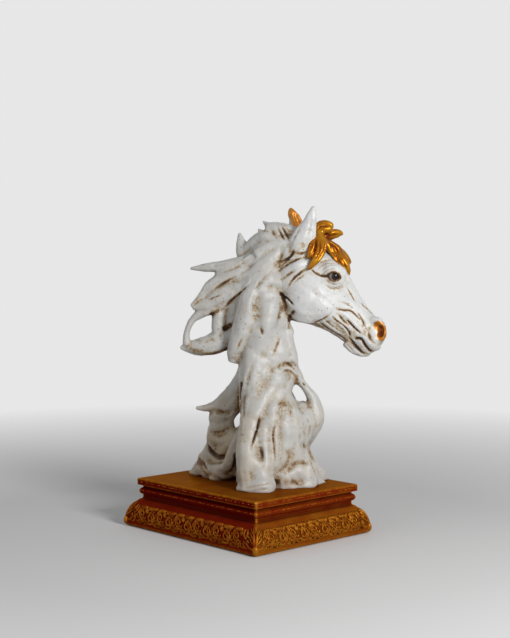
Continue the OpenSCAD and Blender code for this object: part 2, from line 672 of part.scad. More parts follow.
module mane_casting() {
    color("antiquewhite") on_plinth() difference() {
        strands(mane_locks);
        trunk_form();
        skull_form();
        at_mane_pegs() peg(mane_peg_w, mane_peg_l, seat_gap);
    }
}

module forelock_casting() {
    color("gold") on_plinth() difference() {
        strands(forelock_locks);
        trunk_form();
        skull_form();
        strands(mane_locks);
        for (side = [-1, 1]) eye_ball(side, eye_d + 2 * seat_gap, $fn = socket_sides);
    }
}

module near_eye() {
    color("black") on_plinth() eye_ball(-1, eye_d);
}

module far_eye() {
    color("black") on_plinth() eye_ball(1, eye_d);
}

module head_pegs() {
    color("silver") on_plinth() at_head_pegs() peg(head_peg_w, head_peg_l);
}

module mane_pegs() {
    color("silver") on_plinth() at_mane_pegs() peg(mane_peg_w, mane_peg_l);
}

// Sub-part to draw

plinth_casting();
ballast_weight();
tie_bolts();
bolt_washers();
bust_inserts();
base_board();
board_screws();
felt_pad();
neck_casting();
head_casting();
mane_casting();
forelock_casting();
near_eye();
far_eye();
head_pegs();
mane_pegs();
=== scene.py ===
# Book end: a white horse's head and neck with a wind-blown mane, rising from drapery scrolls on a
# stepped plinth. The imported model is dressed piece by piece, from the felt upwards.
import math

import bmesh
import bpy
import numpy as np
import openvdb
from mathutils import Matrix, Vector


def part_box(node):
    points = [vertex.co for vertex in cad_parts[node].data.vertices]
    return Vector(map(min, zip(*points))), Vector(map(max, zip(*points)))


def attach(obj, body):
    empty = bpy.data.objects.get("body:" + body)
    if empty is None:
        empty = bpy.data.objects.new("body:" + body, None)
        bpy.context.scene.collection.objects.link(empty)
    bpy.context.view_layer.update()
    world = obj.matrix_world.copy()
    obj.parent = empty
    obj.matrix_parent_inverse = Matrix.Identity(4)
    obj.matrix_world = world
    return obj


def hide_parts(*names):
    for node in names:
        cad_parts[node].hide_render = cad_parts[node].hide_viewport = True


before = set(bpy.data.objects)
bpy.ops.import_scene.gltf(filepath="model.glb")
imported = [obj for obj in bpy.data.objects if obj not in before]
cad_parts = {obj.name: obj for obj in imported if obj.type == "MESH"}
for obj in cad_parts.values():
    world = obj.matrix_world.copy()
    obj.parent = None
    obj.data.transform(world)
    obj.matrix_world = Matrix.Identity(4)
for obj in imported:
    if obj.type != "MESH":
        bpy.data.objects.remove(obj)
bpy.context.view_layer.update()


# Felt pad: dark green wool felt, cut to the board and glued on, so that the book end doesn't
# scratch the shelf. It keeps its CAD shape; the nap is noise in colour and bump.
def finish_of(name):
    """A new material with its node tree and its shader."""
    material = bpy.data.materials.new(name)
    material.use_nodes = True
    tree = material.node_tree
    return material, tree, tree.nodes["Principled BSDF"]


def coordinates(tree, stretch=(1, 1, 1)):
    """Object coordinates, drawn out or squeezed along each axis."""
    source = tree.nodes.new("ShaderNodeTexCoord").outputs["Object"]
    if stretch == (1, 1, 1):
        return source
    mapping = tree.nodes.new("ShaderNodeMapping")
    mapping.inputs["Scale"].default_value = stretch
    tree.links.new(source, mapping.inputs["Vector"])
    return mapping.outputs["Vector"]


def noise(tree, scale, detail=4.0, roughness=0.55, stretch=(1, 1, 1)):
    """Soft noise whose blotches are about 1 / scale metres wide."""
    texture = tree.nodes.new("ShaderNodeTexNoise")
    texture.inputs["Scale"].default_value = scale
    texture.inputs["Detail"].default_value = detail
    texture.inputs["Roughness"].default_value = roughness
    tree.links.new(coordinates(tree, stretch), texture.inputs["Vector"])
    return texture.outputs["Fac"]


def feed(tree, source, socket):
    """Sets a socket to a number or a colour, or links another socket to it."""
    if isinstance(source, (int, float, tuple)):
        socket.default_value = source
    else:
        tree.links.new(source, socket)


def maths(tree, operation, first, second=0.0, third=0.0):
    """One sum on numbers or sockets."""
    step = tree.nodes.new("ShaderNodeMath")
    step.operation = operation
    for source, socket in zip((first, second, third), step.inputs):
        feed(tree, source, socket)
    return step.outputs["Value"]


def ramp(tree, source, *stops):
    """Colours strung along a value from 0 to 1: (place, red, green, blue)."""
    strip = tree.nodes.new("ShaderNodeValToRGB")
    elements = strip.color_ramp.elements
    while len(elements) < len(stops):
        elements.new(0.5)
    for element, (place, *colour) in zip(elements, stops):
        element.position = place
        element.color = (*colour, 1.0)
    tree.links.new(source, strip.inputs["Fac"])
    return strip.outputs["Color"]


def coat(tree, shader, finish):
    """Sets the shader's sockets by their labels."""
    for label, source in finish.items():
        feed(tree, source, shader.inputs[label])


def bumps(tree, shader, height, strength, depth):
    """Turns a height into bumps on the shader."""
    step = tree.nodes.new("ShaderNodeBump")
    step.inputs["Strength"].default_value = strength
    step.inputs["Distance"].default_value = depth
    tree.links.new(height, step.inputs["Height"])
    tree.links.new(step.outputs["Normal"], shader.inputs["Normal"])


def dress(node_name, material):
    """Gives a CAD node its finish."""
    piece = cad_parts[node_name]
    if not piece.material_slots:
        piece.data.materials.append(material)
    for place in piece.material_slots:
        place.material = material


def wool_felt():
    """Green felt with a short nap."""
    material, tree, shader = finish_of("wool_felt")
    fibres = noise(tree, 2200.0, 3.0, 0.7)
    patches = noise(tree, 60.0)
    tone = maths(tree, "MULTIPLY_ADD", patches, 0.4, maths(tree, "MULTIPLY", fibres, 0.6))
    colour = ramp(tree, tone, (0.3, 0.012, 0.030, 0.016), (0.7, 0.040, 0.085, 0.045))
    coat(tree, shader, {"Base Color": colour, "Roughness": 0.95, "Sheen Weight": 0.4})
    bumps(tree, shader, fibres, 0.6, 0.0004)
    return material


dress("felt_pad", wool_felt())


# Board that closes the plinth from below: brown hardboard, pressed from wood fibre, held against the
# casting's ledge by four countersunk screws.
def spread(tree, source, low, high, to_low=0.0, to_high=1.0):
    """Stretches a value from one range to another, with its ends held."""
    step = tree.nodes.new("ShaderNodeMapRange")
    tree.links.new(source, step.inputs["Value"])
    step.inputs["From Min"].default_value = low
    step.inputs["From Max"].default_value = high
    step.inputs["To Min"].default_value = to_low
    step.inputs["To Max"].default_value = to_high
    return step.outputs["Result"]


def pressed_board():
    """Brown hardboard with its fibres along one way."""
    material, tree, shader = finish_of("pressed_board")
    fibres = noise(tree, 900.0, 5.0, 0.6, (1.0, 0.35, 1.0))
    colour = ramp(tree, fibres, (0.25, 0.075, 0.036, 0.016), (0.6, 0.130, 0.066, 0.030),
                  (0.85, 0.200, 0.110, 0.055))
    coat(tree, shader, {"Base Color": colour, "Roughness": spread(tree, fibres, 0.2, 0.8, 0.55, 0.75)})
    bumps(tree, shader, fibres, 0.3, 0.0002)
    return material


dress("base_board", pressed_board())


# Screws, bolts, washers and pegs: zinc-plated steel, turned or cut from bar, out of sight once the
# book end is put together.
def zinc_plate():
    """Dull zinc with drawn marks along the bar."""
    material, tree, shader = finish_of("zinc_plate")
    spangle = noise(tree, 420.0, 2.0)
    drawn = noise(tree, 700.0, 3.0, 0.6, (1.0, 1.0, 0.08))
    colour = ramp(tree, spangle, (0.3, 0.42, 0.43, 0.45), (0.7, 0.62, 0.62, 0.62))
    dull = spread(tree, drawn, 0.3, 0.7, 0.28, 0.45)
    coat(tree, shader, {"Base Color": colour, "Metallic": 1.0, "Roughness": dull})
    bumps(tree, shader, drawn, 0.15, 0.0001)
    return material


steel = zinc_plate()
for hidden in ("board_screws", "tie_bolts", "bolt_washers", "head_pegs", "mane_pegs"):
    dress(hidden, steel)


# Weight in the plinth: a block of grey iron as it came from the sand, with a rough and rusty skin,
# bolted under the plinth's web so that the book end holds a row of books.
def blend(tree, share, first, second, kind="MIX"):
    """Two colours mixed by a share."""
    mix = tree.nodes.new("ShaderNodeMix")
    mix.data_type = "RGBA"
    mix.blend_type = kind
    mix.clamp_factor = True
    feed(tree, share, mix.inputs[0])
    for source, socket in ((first, mix.inputs[6]), (second, mix.inputs[7])):
        if isinstance(source, tuple):
            socket.default_value = (*source, 1.0)
        else:
            tree.links.new(source, socket)
    return mix.outputs[2]


def sand_cast_iron():
    """Grainy grey iron with patches of rust."""
    material, tree, shader = finish_of("sand_cast_iron")
    grains = noise(tree, 1300.0, 4.0, 0.65)
    rust = noise(tree, 70.0, 5.0)
    grey = ramp(tree, grains, (0.3, 0.045, 0.045, 0.048), (0.75, 0.120, 0.118, 0.116))
    colour = blend(tree, spread(tree, rust, 0.58, 0.75, 0.0, 0.6), grey, (0.110, 0.042, 0.018))
    coat(tree, shader, {"Base Color": colour, "Metallic": 0.6, "Roughness": 0.7})
    bumps(tree, shader, grains, 0.5, 0.0006)
    return material


dress("ballast_weight", sand_cast_iron())


# Inserts in the foot of the bust: hexagonal brass, cut from drawn bar and moulded in. The two tie bolts
# go into them.
def bar_brass():
    """Plain brass with drawn marks along the bar."""
    material, tree, shader = finish_of("bar_brass")
    drawn = noise(tree, 600.0, 3.0, 0.6, (1.0, 1.0, 0.1))
    colour = ramp(tree, drawn, (0.3, 0.46, 0.29, 0.07), (0.7, 0.62, 0.43, 0.14))
    dull = spread(tree, drawn, 0.3, 0.7, 0.25, 0.4)
    coat(tree, shader, {"Base Color": colour, "Metallic": 1.0, "Roughness": dull})
    return material


dress("bust_inserts", bar_brass())


# Plinth: a hollow resin casting with a large rounded moulding, a bead and a slab, lacquered red-brown
# and rubbed with gold, most of all on its top and along its edges. The bright gold on edges and crests is
# partly painted highlight, the dark in the hollows partly painted shade, and each face is painted lighter
# or darker by the side it faces, as light and shade.
MM = 0.001
plinth_low, plinth_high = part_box("plinth_casting")
half_length = plinth_high[0] / MM
half_width = plinth_high[1] / MM
plinth_top = plinth_high[2] / MM
rim_z = plinth_low[2] / MM
toe_z = 4.5
ovolo_in = 11.0
ovolo_h = 24.0
ovolo_r = (ovolo_in ** 2 + ovolo_h ** 2) / (2 * ovolo_in)
ovolo_turn = math.asin(ovolo_h / ovolo_r)
hollow_r = 2.2
deep_in = ovolo_in + hollow_r
bead_low, bead_high, bead_in = 33.0, 40.5, 10.3
slab_z, slab_in, slab_r = 43.0, 9.0, 1.4
board_rebate_in = 15.3
board_ledge_z = 5.2


def arc_points(middle, radius, start, stop, count):
    """Points on an arc in the moulding's section, angles in degrees."""
    angles = [math.radians(start + (stop - start) * i / (count - 1)) for i in range(count)]
    return [(middle[0] + radius * math.cos(a), middle[1] + radius * math.sin(a)) for a in angles]


def plinth_section():
    """Inset, height and gold value along the plinth's section, from the board's rebate to the top: rubbed
    gold on the edges, partly painted highlight, and dark in the hollows, partly painted shade.
    """
    bead_rise = deep_in - bead_in
    bead_half = (bead_high - bead_low) / 2
    bead_mid = (bead_low + bead_high) / 2
    bead_r = (bead_half ** 2 + bead_rise ** 2) / (2 * bead_rise)
    bead_turn = math.degrees(math.asin(bead_half / bead_r))
    ovolo_steps = 14
    rows = [(board_rebate_in, board_ledge_z, 0.0), (board_rebate_in, rim_z, 0.0), (0.9, rim_z, 0.3)]
    rows += [(0.25, rim_z + 0.3, 0.6), (0.0, rim_z + 0.9, 0.5), (0.0, toe_z, 0.1)]
    for i in range(1, ovolo_steps):
        turn = ovolo_turn * i / ovolo_steps
        # The ground behind the carving is set dark: partly glaze, partly painted shade.
        carved = -0.3 if 1 < i < ovolo_steps - 3 else 0.0
        rows.append((ovolo_r * (1 - math.cos(turn)), toe_z + ovolo_r * math.sin(turn), carved))
    rows.append((ovolo_in, toe_z + ovolo_h, 0.2))
    for x, z in arc_points((ovolo_in, toe_z + ovolo_h + hollow_r), hollow_r, -80, 0, 5):
        rows.append((x, z, -0.5))
    for x, z in arc_points((bead_in + bead_r, bead_mid), bead_r, 180 + bead_turn, 180 - bead_turn, 11):
        crown = 1 - abs(z - bead_mid) / bead_half
        rows.append((x, z, 0.35 * crown - 0.3))
    # The recess under the slab is set darkest: partly glaze, partly painted shade.
    rows += [(deep_in, bead_high + 0.6, -0.6), (deep_in, slab_z, -0.6), (slab_in + 0.5, slab_z, 0.0)]
    rows += [(slab_in + 0.1, slab_z + 0.2, 0.6), (slab_in, slab_z + 0.8, 0.3), (slab_in, slab_z + 1.8, 0.0)]
    rows.append((slab_in, plinth_top - slab_r - 1.2, 0.0))
    for x, z in arc_points((slab_in + slab_r, plinth_top - slab_r), slab_r, 180, 90, 5):
        rows.append((x, z, 0.5))
    rows += [(slab_in + slab_r + 1.5, plinth_top, 0.15), (slab_in + 8.0, plinth_top, 0.0)]
    return rows


def plinth_ring(inset, gold, corner_gold):
    """Points round the plinth at one inset, with softened corners that have their own rubbed gold."""
    corner_r = 0.9
    beside = 2.6
    ring = []
    for i in range(4):
        along_x = 1 if i in (0, 1) else -1
        along_y = 1 if i in (1, 2) else -1
        x = along_x * (half_length - inset - corner_r)
        y = along_y * (half_width - inset - corner_r)
        start = math.radians(90 * i - 90)
        before = (math.cos(start), math.sin(start))
        after = (-before[1], before[0])
        ring.append((x + corner_r * before[0] - beside * after[0],
                     y + corner_r * before[1] - beside * after[1], gold))
        for j in range(4):
            a = start + math.radians(30 * j)
            ring.append((x + corner_r * math.cos(a), y + corner_r * math.sin(a), corner_gold))
        ring.append((x + corner_r * after[0] - beside * before[0],
                     y + corner_r * after[1] - beside * before[1], gold))
    return ring


def piece_of(name, points, faces, material, values=None, sharp=None):
    """A smooth-shaded object from points in millimetres, with its values at the points."""
    mesh = bpy.data.meshes.new(name)
    corners = (np.asarray(points, float) * MM).tolist()
    mesh.from_pydata(corners, [], [list(map(int, face)) for face in faces])
    for label, numbers in (values or {}).items():
        layer = mesh.attributes.new(label, "FLOAT", "POINT")
        layer.data.foreach_set("value", np.asarray(numbers, np.float32))
    mesh.materials.append(material)
    mesh.shade_smooth()
    if sharp is not None:
        mesh.set_sharp_from_angle(angle=math.radians(sharp))
    mesh.update()
    piece = bpy.data.objects.new(name, mesh)
    bpy.context.scene.collection.objects.link(piece)
    return piece


def tube_faces(start, rings, sides):
    """Faces between rings of points, counted from a first point, with a cap at each end."""
    faces = []
    for i in range(rings - 1):
        for j in range(sides):
            a = start + i * sides + j
            b = start + i * sides + (j + 1) % sides
            faces.append((a, b, b + sides, a + sides))
    end = start + (rings - 1) * sides
    return faces + [range(start + sides - 1, start - 1, -1), range(end, end + sides)]


def plinth_mesh(material):
    """The plinth's shell: its section taken round the four sides."""
    points, gold = [], []
    section = plinth_section()
    for inset, z, rubbed in section:
        corner = rubbed if z > plinth_top - 0.01 else max(rubbed, 0.7 + 0.4 * rubbed)
        for x, y, value in plinth_ring(inset, rubbed, corner):
            points.append((x, y, z))
            gold.append(value)
    faces = tube_faces(0, len(section), len(points) // len(section))
    return piece_of("plinth", points, faces, material, {"gold": gold}, 38.0)


def attribute(tree, name):
    """A value that the piece's mesh carries at its points."""
    reader = tree.nodes.new("ShaderNodeAttribute")
    reader.attribute_name = name
    return reader.outputs["Fac"]


def red_gold_lacquer():
    """Red-brown lacquer rubbed with gold: the gold value is -1 in a dark hollow, 0 on a plain face and
    1 on a bright edge. The dark is partly glaze and partly painted shade, the bright gold partly rubbed
    gilding and partly painted highlight. Each face is also painted lighter or darker by the side it faces:
    painted light and shade."""
    material, tree, shader = finish_of("red_gold_lacquer")
    parts = tree.nodes.new("ShaderNodeSeparateXYZ")
    tree.links.new(coordinates(tree), parts.inputs["Vector"])
    x, y, z = parts.outputs
    # Painted light and shade: each face is made lighter or darker by the side it faces, the +X end lightest
    # and the -Y side darkest.
    from_end = maths(tree, "SUBTRACT", half_length * MM, maths(tree, "ABSOLUTE", x))
    from_side = maths(tree, "SUBTRACT", half_width * MM, maths(tree, "ABSOLUTE", y))
    at_end = maths(tree, "LESS_THAN", from_end, from_side)
    forward = maths(tree, "GREATER_THAN", x, 0.0)
    backward = maths(tree, "GREATER_THAN", y, 0.0)
    end_light_share = maths(tree, "MULTIPLY_ADD", forward, 0.19, 0.25)
    side_light_share = maths(tree, "MULTIPLY_ADD", backward, 0.35, 0.0)
    painted_side_light = maths(tree, "ADD", maths(tree, "MULTIPLY", at_end, end_light_share),
                    maths(tree, "MULTIPLY", maths(tree, "SUBTRACT", 1.0, at_end), side_light_share))
    low_part = spread(tree, z, (toe_z + ovolo_h + 2.0) * MM, (toe_z + ovolo_h - 1.0) * MM, 0.0, 0.25)
    level = maths(tree, "GREATER_THAN", z, (plinth_top - 0.6) * MM)
    on_top = maths(tree, "MULTIPLY", level, 0.72)
    # The tone takes the painted side light, the real gold rubbed on the low moulding or the gold on the
    # top, whichever is most.
    rubbed = maths(tree, "MAXIMUM", maths(tree, "ADD", painted_side_light, low_part), on_top)
    cloud = noise(tree, 55.0, 5.0, 0.6)
    streak = noise(tree, 160.0, 4.0, 0.6, (0.35, 0.35, 1.6))
    uneven = maths(tree, "MULTIPLY_ADD", cloud, 0.7, maths(tree, "MULTIPLY_ADD", streak, 0.5, -0.6))
    tone = maths(tree, "ADD", rubbed, maths(tree, "MULTIPLY", uneven, 0.7))
    face = ramp(tree, tone, (0.0, 0.110, 0.0032, 0.0024), (0.35, 0.150, 0.011, 0.0028),
                (0.66, 0.195, 0.046, 0.0040), (1.0, 0.270, 0.105, 0.0075))
    value = attribute(tree, "gold")
    patches = spread(tree, noise(tree, 140.0, 3.0), 0.36, 0.64, 0.4, 1.25)
    scuffed = maths(tree, "ADD", noise(tree, 420.0, 4.0, 0.65), 0.1)
    worn = maths(tree, "MULTIPLY", patches, scuffed)
    # Gold on edges and crests: partly rubbed gilding, partly painted highlight.
    bright = maths(tree, "MULTIPLY", spread(tree, value, 0.1, 1.0), worn)
    gilded = blend(tree, maths(tree, "MULTIPLY", bright, 1.2), face, (0.48, 0.195, 0.017))
    # Dark in the hollows: partly dark glaze, partly painted shade.
    deep = spread(tree, value, -0.1, -0.7, 0.0, 0.85)
    colour = blend(tree, deep, gilded, (0.030, 0.0050, 0.0018))
    coat(tree, shader, {
        "Base Color": colour,
        "Metallic": maths(tree, "MULTIPLY_ADD", bright, 0.55, 0.25),
        "Roughness": spread(tree, cloud, 0.25, 0.75, 0.26, 0.42),
        "Specular IOR Level": 0.0,
        "Specular Tint": (1.0, 0.62, 0.25, 1.0)})
    brushed = maths(tree, "MULTIPLY_ADD", streak, 0.6, noise(tree, 900.0, 2.0))
    bumps(tree, shader, brushed, 0.25, 0.0004)
    return material


lacquer = red_gold_lacquer()
plinth = plinth_mesh(lacquer)
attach(plinth, "root")
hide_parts("plinth_casting")


# Carving round the plinth: large and small scrolls by turns among leaves on the large moulding, a leaf
# with a pearl at each corner, and tooled marks along the bead and the slab. It is cast with the plinth,
# raised nearly two millimetres, and catches the gold; the bright gold on its crests and marks is partly
# painted highlight, and the dark at the feet of its leaves partly painted shade.
pitch = 29.0
relief = 1.9
toe_flush = 0.3


def curve_through(rows, per_span):
    """Points on a smooth curve through the rows of a table."""
    rows = [np.asarray(row, float) for row in rows]
    last = len(rows) - 1
    points = []
    for i in range(last):
        a, b, c, d = rows[max(i - 1, 0)], rows[i], rows[i + 1], rows[min(i + 2, last)]
        for j in range(per_span):
            f = j / per_span
            points.append(b + f / 2 * (c - a + f * (2 * a - 5 * b + 4 * c - d + f * (3 * (b - c) + d - a))))
    points.append(rows[last])
    return np.array(points)


def on_ovolo(along, up, height):
    """Place on a side that faces -Y: along it, up its curve, and out from it."""
    turn = up / ovolo_r
    out = min((ovolo_r + height) * math.cos(turn) - ovolo_r, toe_flush)
    return (along, -out, toe_z + (ovolo_r + height) * math.sin(turn))


def on_corner(along, up, height):
    """Place beside the corner between -Y and +X: along is the distance from the corner's edge."""
    inset = ovolo_r * (1 - math.cos(up / ovolo_r))
    _, y, z = on_ovolo(along, up, height)
    return (-(inset + along), y, z)


def on_corner_end(along, up, height):
    """The same place on the +X face."""
    x, y, z = on_corner(along, up, height)
    return (-y, -x, z)


def frond(model, rows, place, per_span=5, proud=1.0):
    """Adds a raised stem or leaf: (along, up, half width) at each row, thin at its ends."""
    section = ((-1.0, -0.5), (-0.75, 0.55), (-0.25, 1.0), (0.25, 1.0), (0.75, 0.55), (1.0, -0.5))
    # Crests are set bright gold, partly gilding and partly painted highlight; feet are set dark, partly
    # glaze and partly painted shade.
    swell, crest_gold_and_highlight, foot_dark_and_shade = 1.3, 0.62, -0.7
    line = curve_through(rows, per_span)
    heading = np.gradient(line[:, :2], axis=0)
    heading /= np.maximum(np.linalg.norm(heading, axis=1), 1e-6)[:, None]
    start = len(model["points"])
    for (along, up, width), (du, dv) in zip(line, heading):
        width = swell * width
        crest = proud * relief * min(1.0, 0.3 + 0.5 * width)
        for across, share in section:
            high = crest * share if share > 0 else share
            model["points"].append(place(along - dv * width * across, up + du * width * across, high))
            model["gold"].append(crest_gold_and_highlight * share if share > 0 else foot_dark_and_shade)
    model["faces"] += tube_faces(start, len(line), len(section))


def pearl(model, middle, radii, rings=8, sides=12):
    """Adds an oval bead at a point in millimetres."""
    pearl_gold = 0.8
    start = len(model["points"])
    for i in range(rings + 1):
        tilt = math.pi * (i + 0.02) / (rings + 0.04)
        for j in range(sides):
            a = 2 * math.pi * j / sides
            model["points"].append((middle[0] + radii[0] * math.sin(tilt) * math.cos(a),
                                    middle[1] + radii[1] * math.sin(tilt) * math.sin(a),
                                    middle[2] + radii[2] * math.cos(tilt)))
            model["gold"].append(pearl_gold)
    model["faces"] += [(face[0], *face[:0:-1]) for face in tube_faces(start, rings + 1, sides)]


def volute(middle, radius, start, turns, width):
    """Rows of a scroll that winds in on its eye."""
    count = 14
    winds_in, narrows = 0.78, 0.35
    rows = []
    for i in range(count + 1):
        share = i / count
        a = math.radians(start + 360 * turns * share)
        r = radius * (1 - winds_in * share)
        rows.append((middle[0] + r * math.cos(a), middle[1] + r * math.sin(a),
                     width * (1 - narrows * share)))
    return rows


def blank():
    """An empty model for fronds and pearls."""
    return {"points": [], "faces": [], "gold": []}


def leaf_fan(model, root, foot, tips, reach, place=on_ovolo):
    """Adds leaves that spread from a root: foot is the height where they start, reach where they end."""
    for tip in tips:
        lean = root + 0.5 * tip
        end = reach - 0.12 * abs(tip) * (1 if reach > foot else -1)
        rows = [(lean, foot, 0.5), (root + 0.78 * tip, (foot + end) / 2, 1.05), (root + tip, end, 0.3)]
        frond(model, rows, place, 3)


def scroll_motif():
    """A large scroll with its stem, side shoots and a crown of leaves."""
    model = blank()
    frond(model, volute((0, 8.8), 6.8, 215, 1.6, 1.05), on_ovolo, 3)
    frond(model, [(-14.5, 2.2, 0.7), (-10.5, 1.5, 0.9), (-7.0, 2.5, 1.0), (-5.2, 4.8, 0.9)], on_ovolo)
    frond(model, [(4.2, 3.6, 0.5), (8.0, 1.7, 0.9), (11.5, 1.5, 0.9), (14.5, 2.2, 0.7)], on_ovolo)
    frond(model, [(-6.8, 12.6, 0.4), (-9.2, 15.2, 0.9), (-9.2, 18.4, 0.8), (-7.4, 19.4, 0.4)], on_ovolo)
    frond(model, [(7.0, 11.4, 0.4), (9.4, 13.8, 0.9), (9.6, 17.2, 0.8), (8.2, 18.8, 0.4)], on_ovolo)
    frond(model, [(6.9, 8.0, 0.4), (8.2, 6.2, 0.8), (8.0, 4.0, 0.3)], on_ovolo, 4)
    frond(model, [(-7.2, 9.4, 0.4), (-8.6, 7.4, 0.8), (-8.4, 5.0, 0.3)], on_ovolo, 4)
    leaf_fan(model, 0.0, 16.0, (-6.4, -3.8, -1.0, 2.0, 4.6, 6.8), 20.8)
    return model


def tendril_motif():
    """A smaller scroll that winds the other way, with leaves over and under it."""
    model = blank()
    frond(model, volute((0, 11.2), 4.5, -35, -1.45, 0.85), on_ovolo, 3)
    leaf_fan(model, 0.0, 6.0, (-4.8, -2.4, 0.2, 2.6, 5.0), 2.8)
    leaf_fan(model, 0.0, 16.4, (-4.2, -1.4, 1.6, 4.4), 21.0)
    for way in (-1, 1):
        frond(model, [(3.8 * way, 8.4, 0.4), (5.4 * way, 6.8, 0.8), (6.8 * way, 7.6, 0.3)], on_ovolo, 4)
        frond(model, [(4.4 * way, 13.4, 0.4), (5.8 * way, 15.0, 0.8), (6.4 * way, 17.4, 0.3)], on_ovolo, 4)
    return model


def tangle_motif():
    """Small leaves that fill the ground between the scrolls, strewn from a fixed seed."""
    model = blank()
    chance = np.random.default_rng(12)
    count = 30
    for i in range(count):
        along = pitch * ((i + 0.5) / count - 0.5)
        up = chance.uniform(3.0, 19.5)
        turn = chance.uniform(0.0, 2 * math.pi)
        bend = chance.uniform(-1.3, 1.3)
        size = chance.uniform(1.5, 2.4)
        rows = [(along, up, 0.35)]
        for width in (0.75, 0.7, 0.25):
            along += size * math.cos(turn)
            up = min(max(up + size * math.sin(turn), 1.8), 21.4)
            turn += bend
            rows.append((along, up, width))
        frond(model, rows, on_ovolo, 2, 0.8)
    return model


def corner_motif():
    """A leaf folded over the corner, with curling lobes on both faces and a pearl at its foot."""
    model = blank()
    for place in (on_corner, on_corner_end):
        frond(model, [(0.8, 3.0, 0.8), (1.2, 10.0, 1.3), (1.5, 17.0, 1.1), (2.6, 22.0, 0.4)], place)
        frond(model, [(1.5, 7.0, 0.5), (4.8, 9.5, 1.3), (7.6, 14.0, 0.4)], place, 4)
        frond(model, [(1.5, 11.0, 0.5), (4.2, 14.0, 1.3), (6.4, 18.6, 0.4)], place, 4)
        frond(model, [(1.5, 15.0, 0.5), (3.6, 18.0, 1.1), (5.2, 21.4, 0.3)], place, 4)
        frond(model, [(1.4, 3.6, 0.7), (5.0, 2.4, 1.1), (9.0, 3.4, 1.1), (11.4, 7.0, 1.0), (9.6, 9.6, 0.8),
                      (8.2, 7.6, 0.5)], place)
        frond(model, [(8.4, 12.0, 0.4), (10.4, 15.4, 1.2), (9.6, 20.4, 0.4)], place, 4)
        frond(model, [(11.0, 2.0, 0.5), (14.6, 2.6, 0.9), (16.6, 5.4, 0.9), (15.2, 8.2, 0.7),
                      (13.6, 6.8, 0.4)], place)
        frond(model, [(12.4, 10.4, 0.4), (14.6, 13.0, 1.1), (14.2, 17.4, 0.9), (12.4, 19.8, 0.3)], place, 4)
    pearl(model, (-0.9, 0.9, toe_z + 1.6), (2.9, 2.9, 4.6))
    return model


def tooled_mark():
    """One short stroke of the tooling, struck along a side that faces -Y."""
    model = blank()
    # The mark is set bright gold: partly gilding, partly painted glint.
    pearl(model, (0.0, 0.0, 0.0), (0.95, 0.34, 0.42), 6, 8)
    return model


def carved_piece(name, model):
    """Turns a model of fronds into a closed mesh with outward faces."""
    piece = piece_of(name, model["points"], model["faces"], lacquer, {"gold": model["gold"]})
    shape = bmesh.new()
    shape.from_mesh(piece.data)
    bmesh.ops.recalc_face_normals(shape, faces=shape.faces)
    shape.to_mesh(piece.data)
    shape.free()
    return piece


def new_tree(name, sockets):
    """An empty tree of geometry nodes with named inputs, and the node that joins what it makes."""
    tree = bpy.data.node_groups.new(name, "GeometryNodeTree")
    for label, kind in sockets:
        tree.interface.new_socket(name=label, in_out="INPUT", socket_type="NodeSocket" + kind)
    tree.interface.new_socket(name="Carving", in_out="OUTPUT", socket_type="NodeSocketGeometry")
    joined = tree.nodes.new("GeometryNodeJoinGeometry")
    real = tree.nodes.new("GeometryNodeRealizeInstances")
    tree.links.new(joined.outputs["Geometry"], real.inputs["Geometry"])
    finish = tree.nodes.new("GeometryNodeSetMaterial")
    finish.inputs["Material"].default_value = lacquer
    tree.links.new(real.outputs["Geometry"], finish.inputs["Geometry"])
    tree.links.new(finish.outputs["Geometry"], tree.nodes.new("NodeGroupOutput").inputs["Carving"])
    return tree, tree.nodes.new("NodeGroupInput").outputs, joined.inputs["Geometry"]


def point(tree, x, y, z=0.0):
    """A place put together from numbers or sockets."""
    step = tree.nodes.new("ShaderNodeCombineXYZ")
    for source, socket in zip((x, y, z), step.inputs):
        feed(tree, source, socket)
    return step.outputs["Vector"]


def shape_of(tree, socket):
    """The mesh of an object that is one of the tree's inputs."""
    step = tree.nodes.new("GeometryNodeObjectInfo")
    tree.links.new(socket, step.inputs["Object"])
    return step.outputs["Geometry"]


def set_down(tree, geometry, place, quarter, joined):
    """Turns geometry by quarters round the plinth, and puts it in its place."""
    step = tree.nodes.new("GeometryNodeTransform")
    tree.links.new(geometry, step.inputs["Geometry"])
    tree.links.new(place, step.inputs["Translation"])
    step.inputs["Rotation"].default_value = (0.0, 0.0, math.radians(90 * quarter))
    tree.links.new(step.outputs["Geometry"], joined)


def random_value(tree, kind, seed, *limits):
    """A seeded random share: a yes or no with its chance, or a number between two limits."""
    step = tree.nodes.new("FunctionNodeRandomValue")
    step.data_type = kind
    first = 6 if kind == "BOOLEAN" else 2
    for i, limit in enumerate(limits):
        feed(tree, limit, step.inputs[first + i])
    step.inputs["Seed"].default_value = seed
    return step.outputs[3 if kind == "BOOLEAN" else 1]


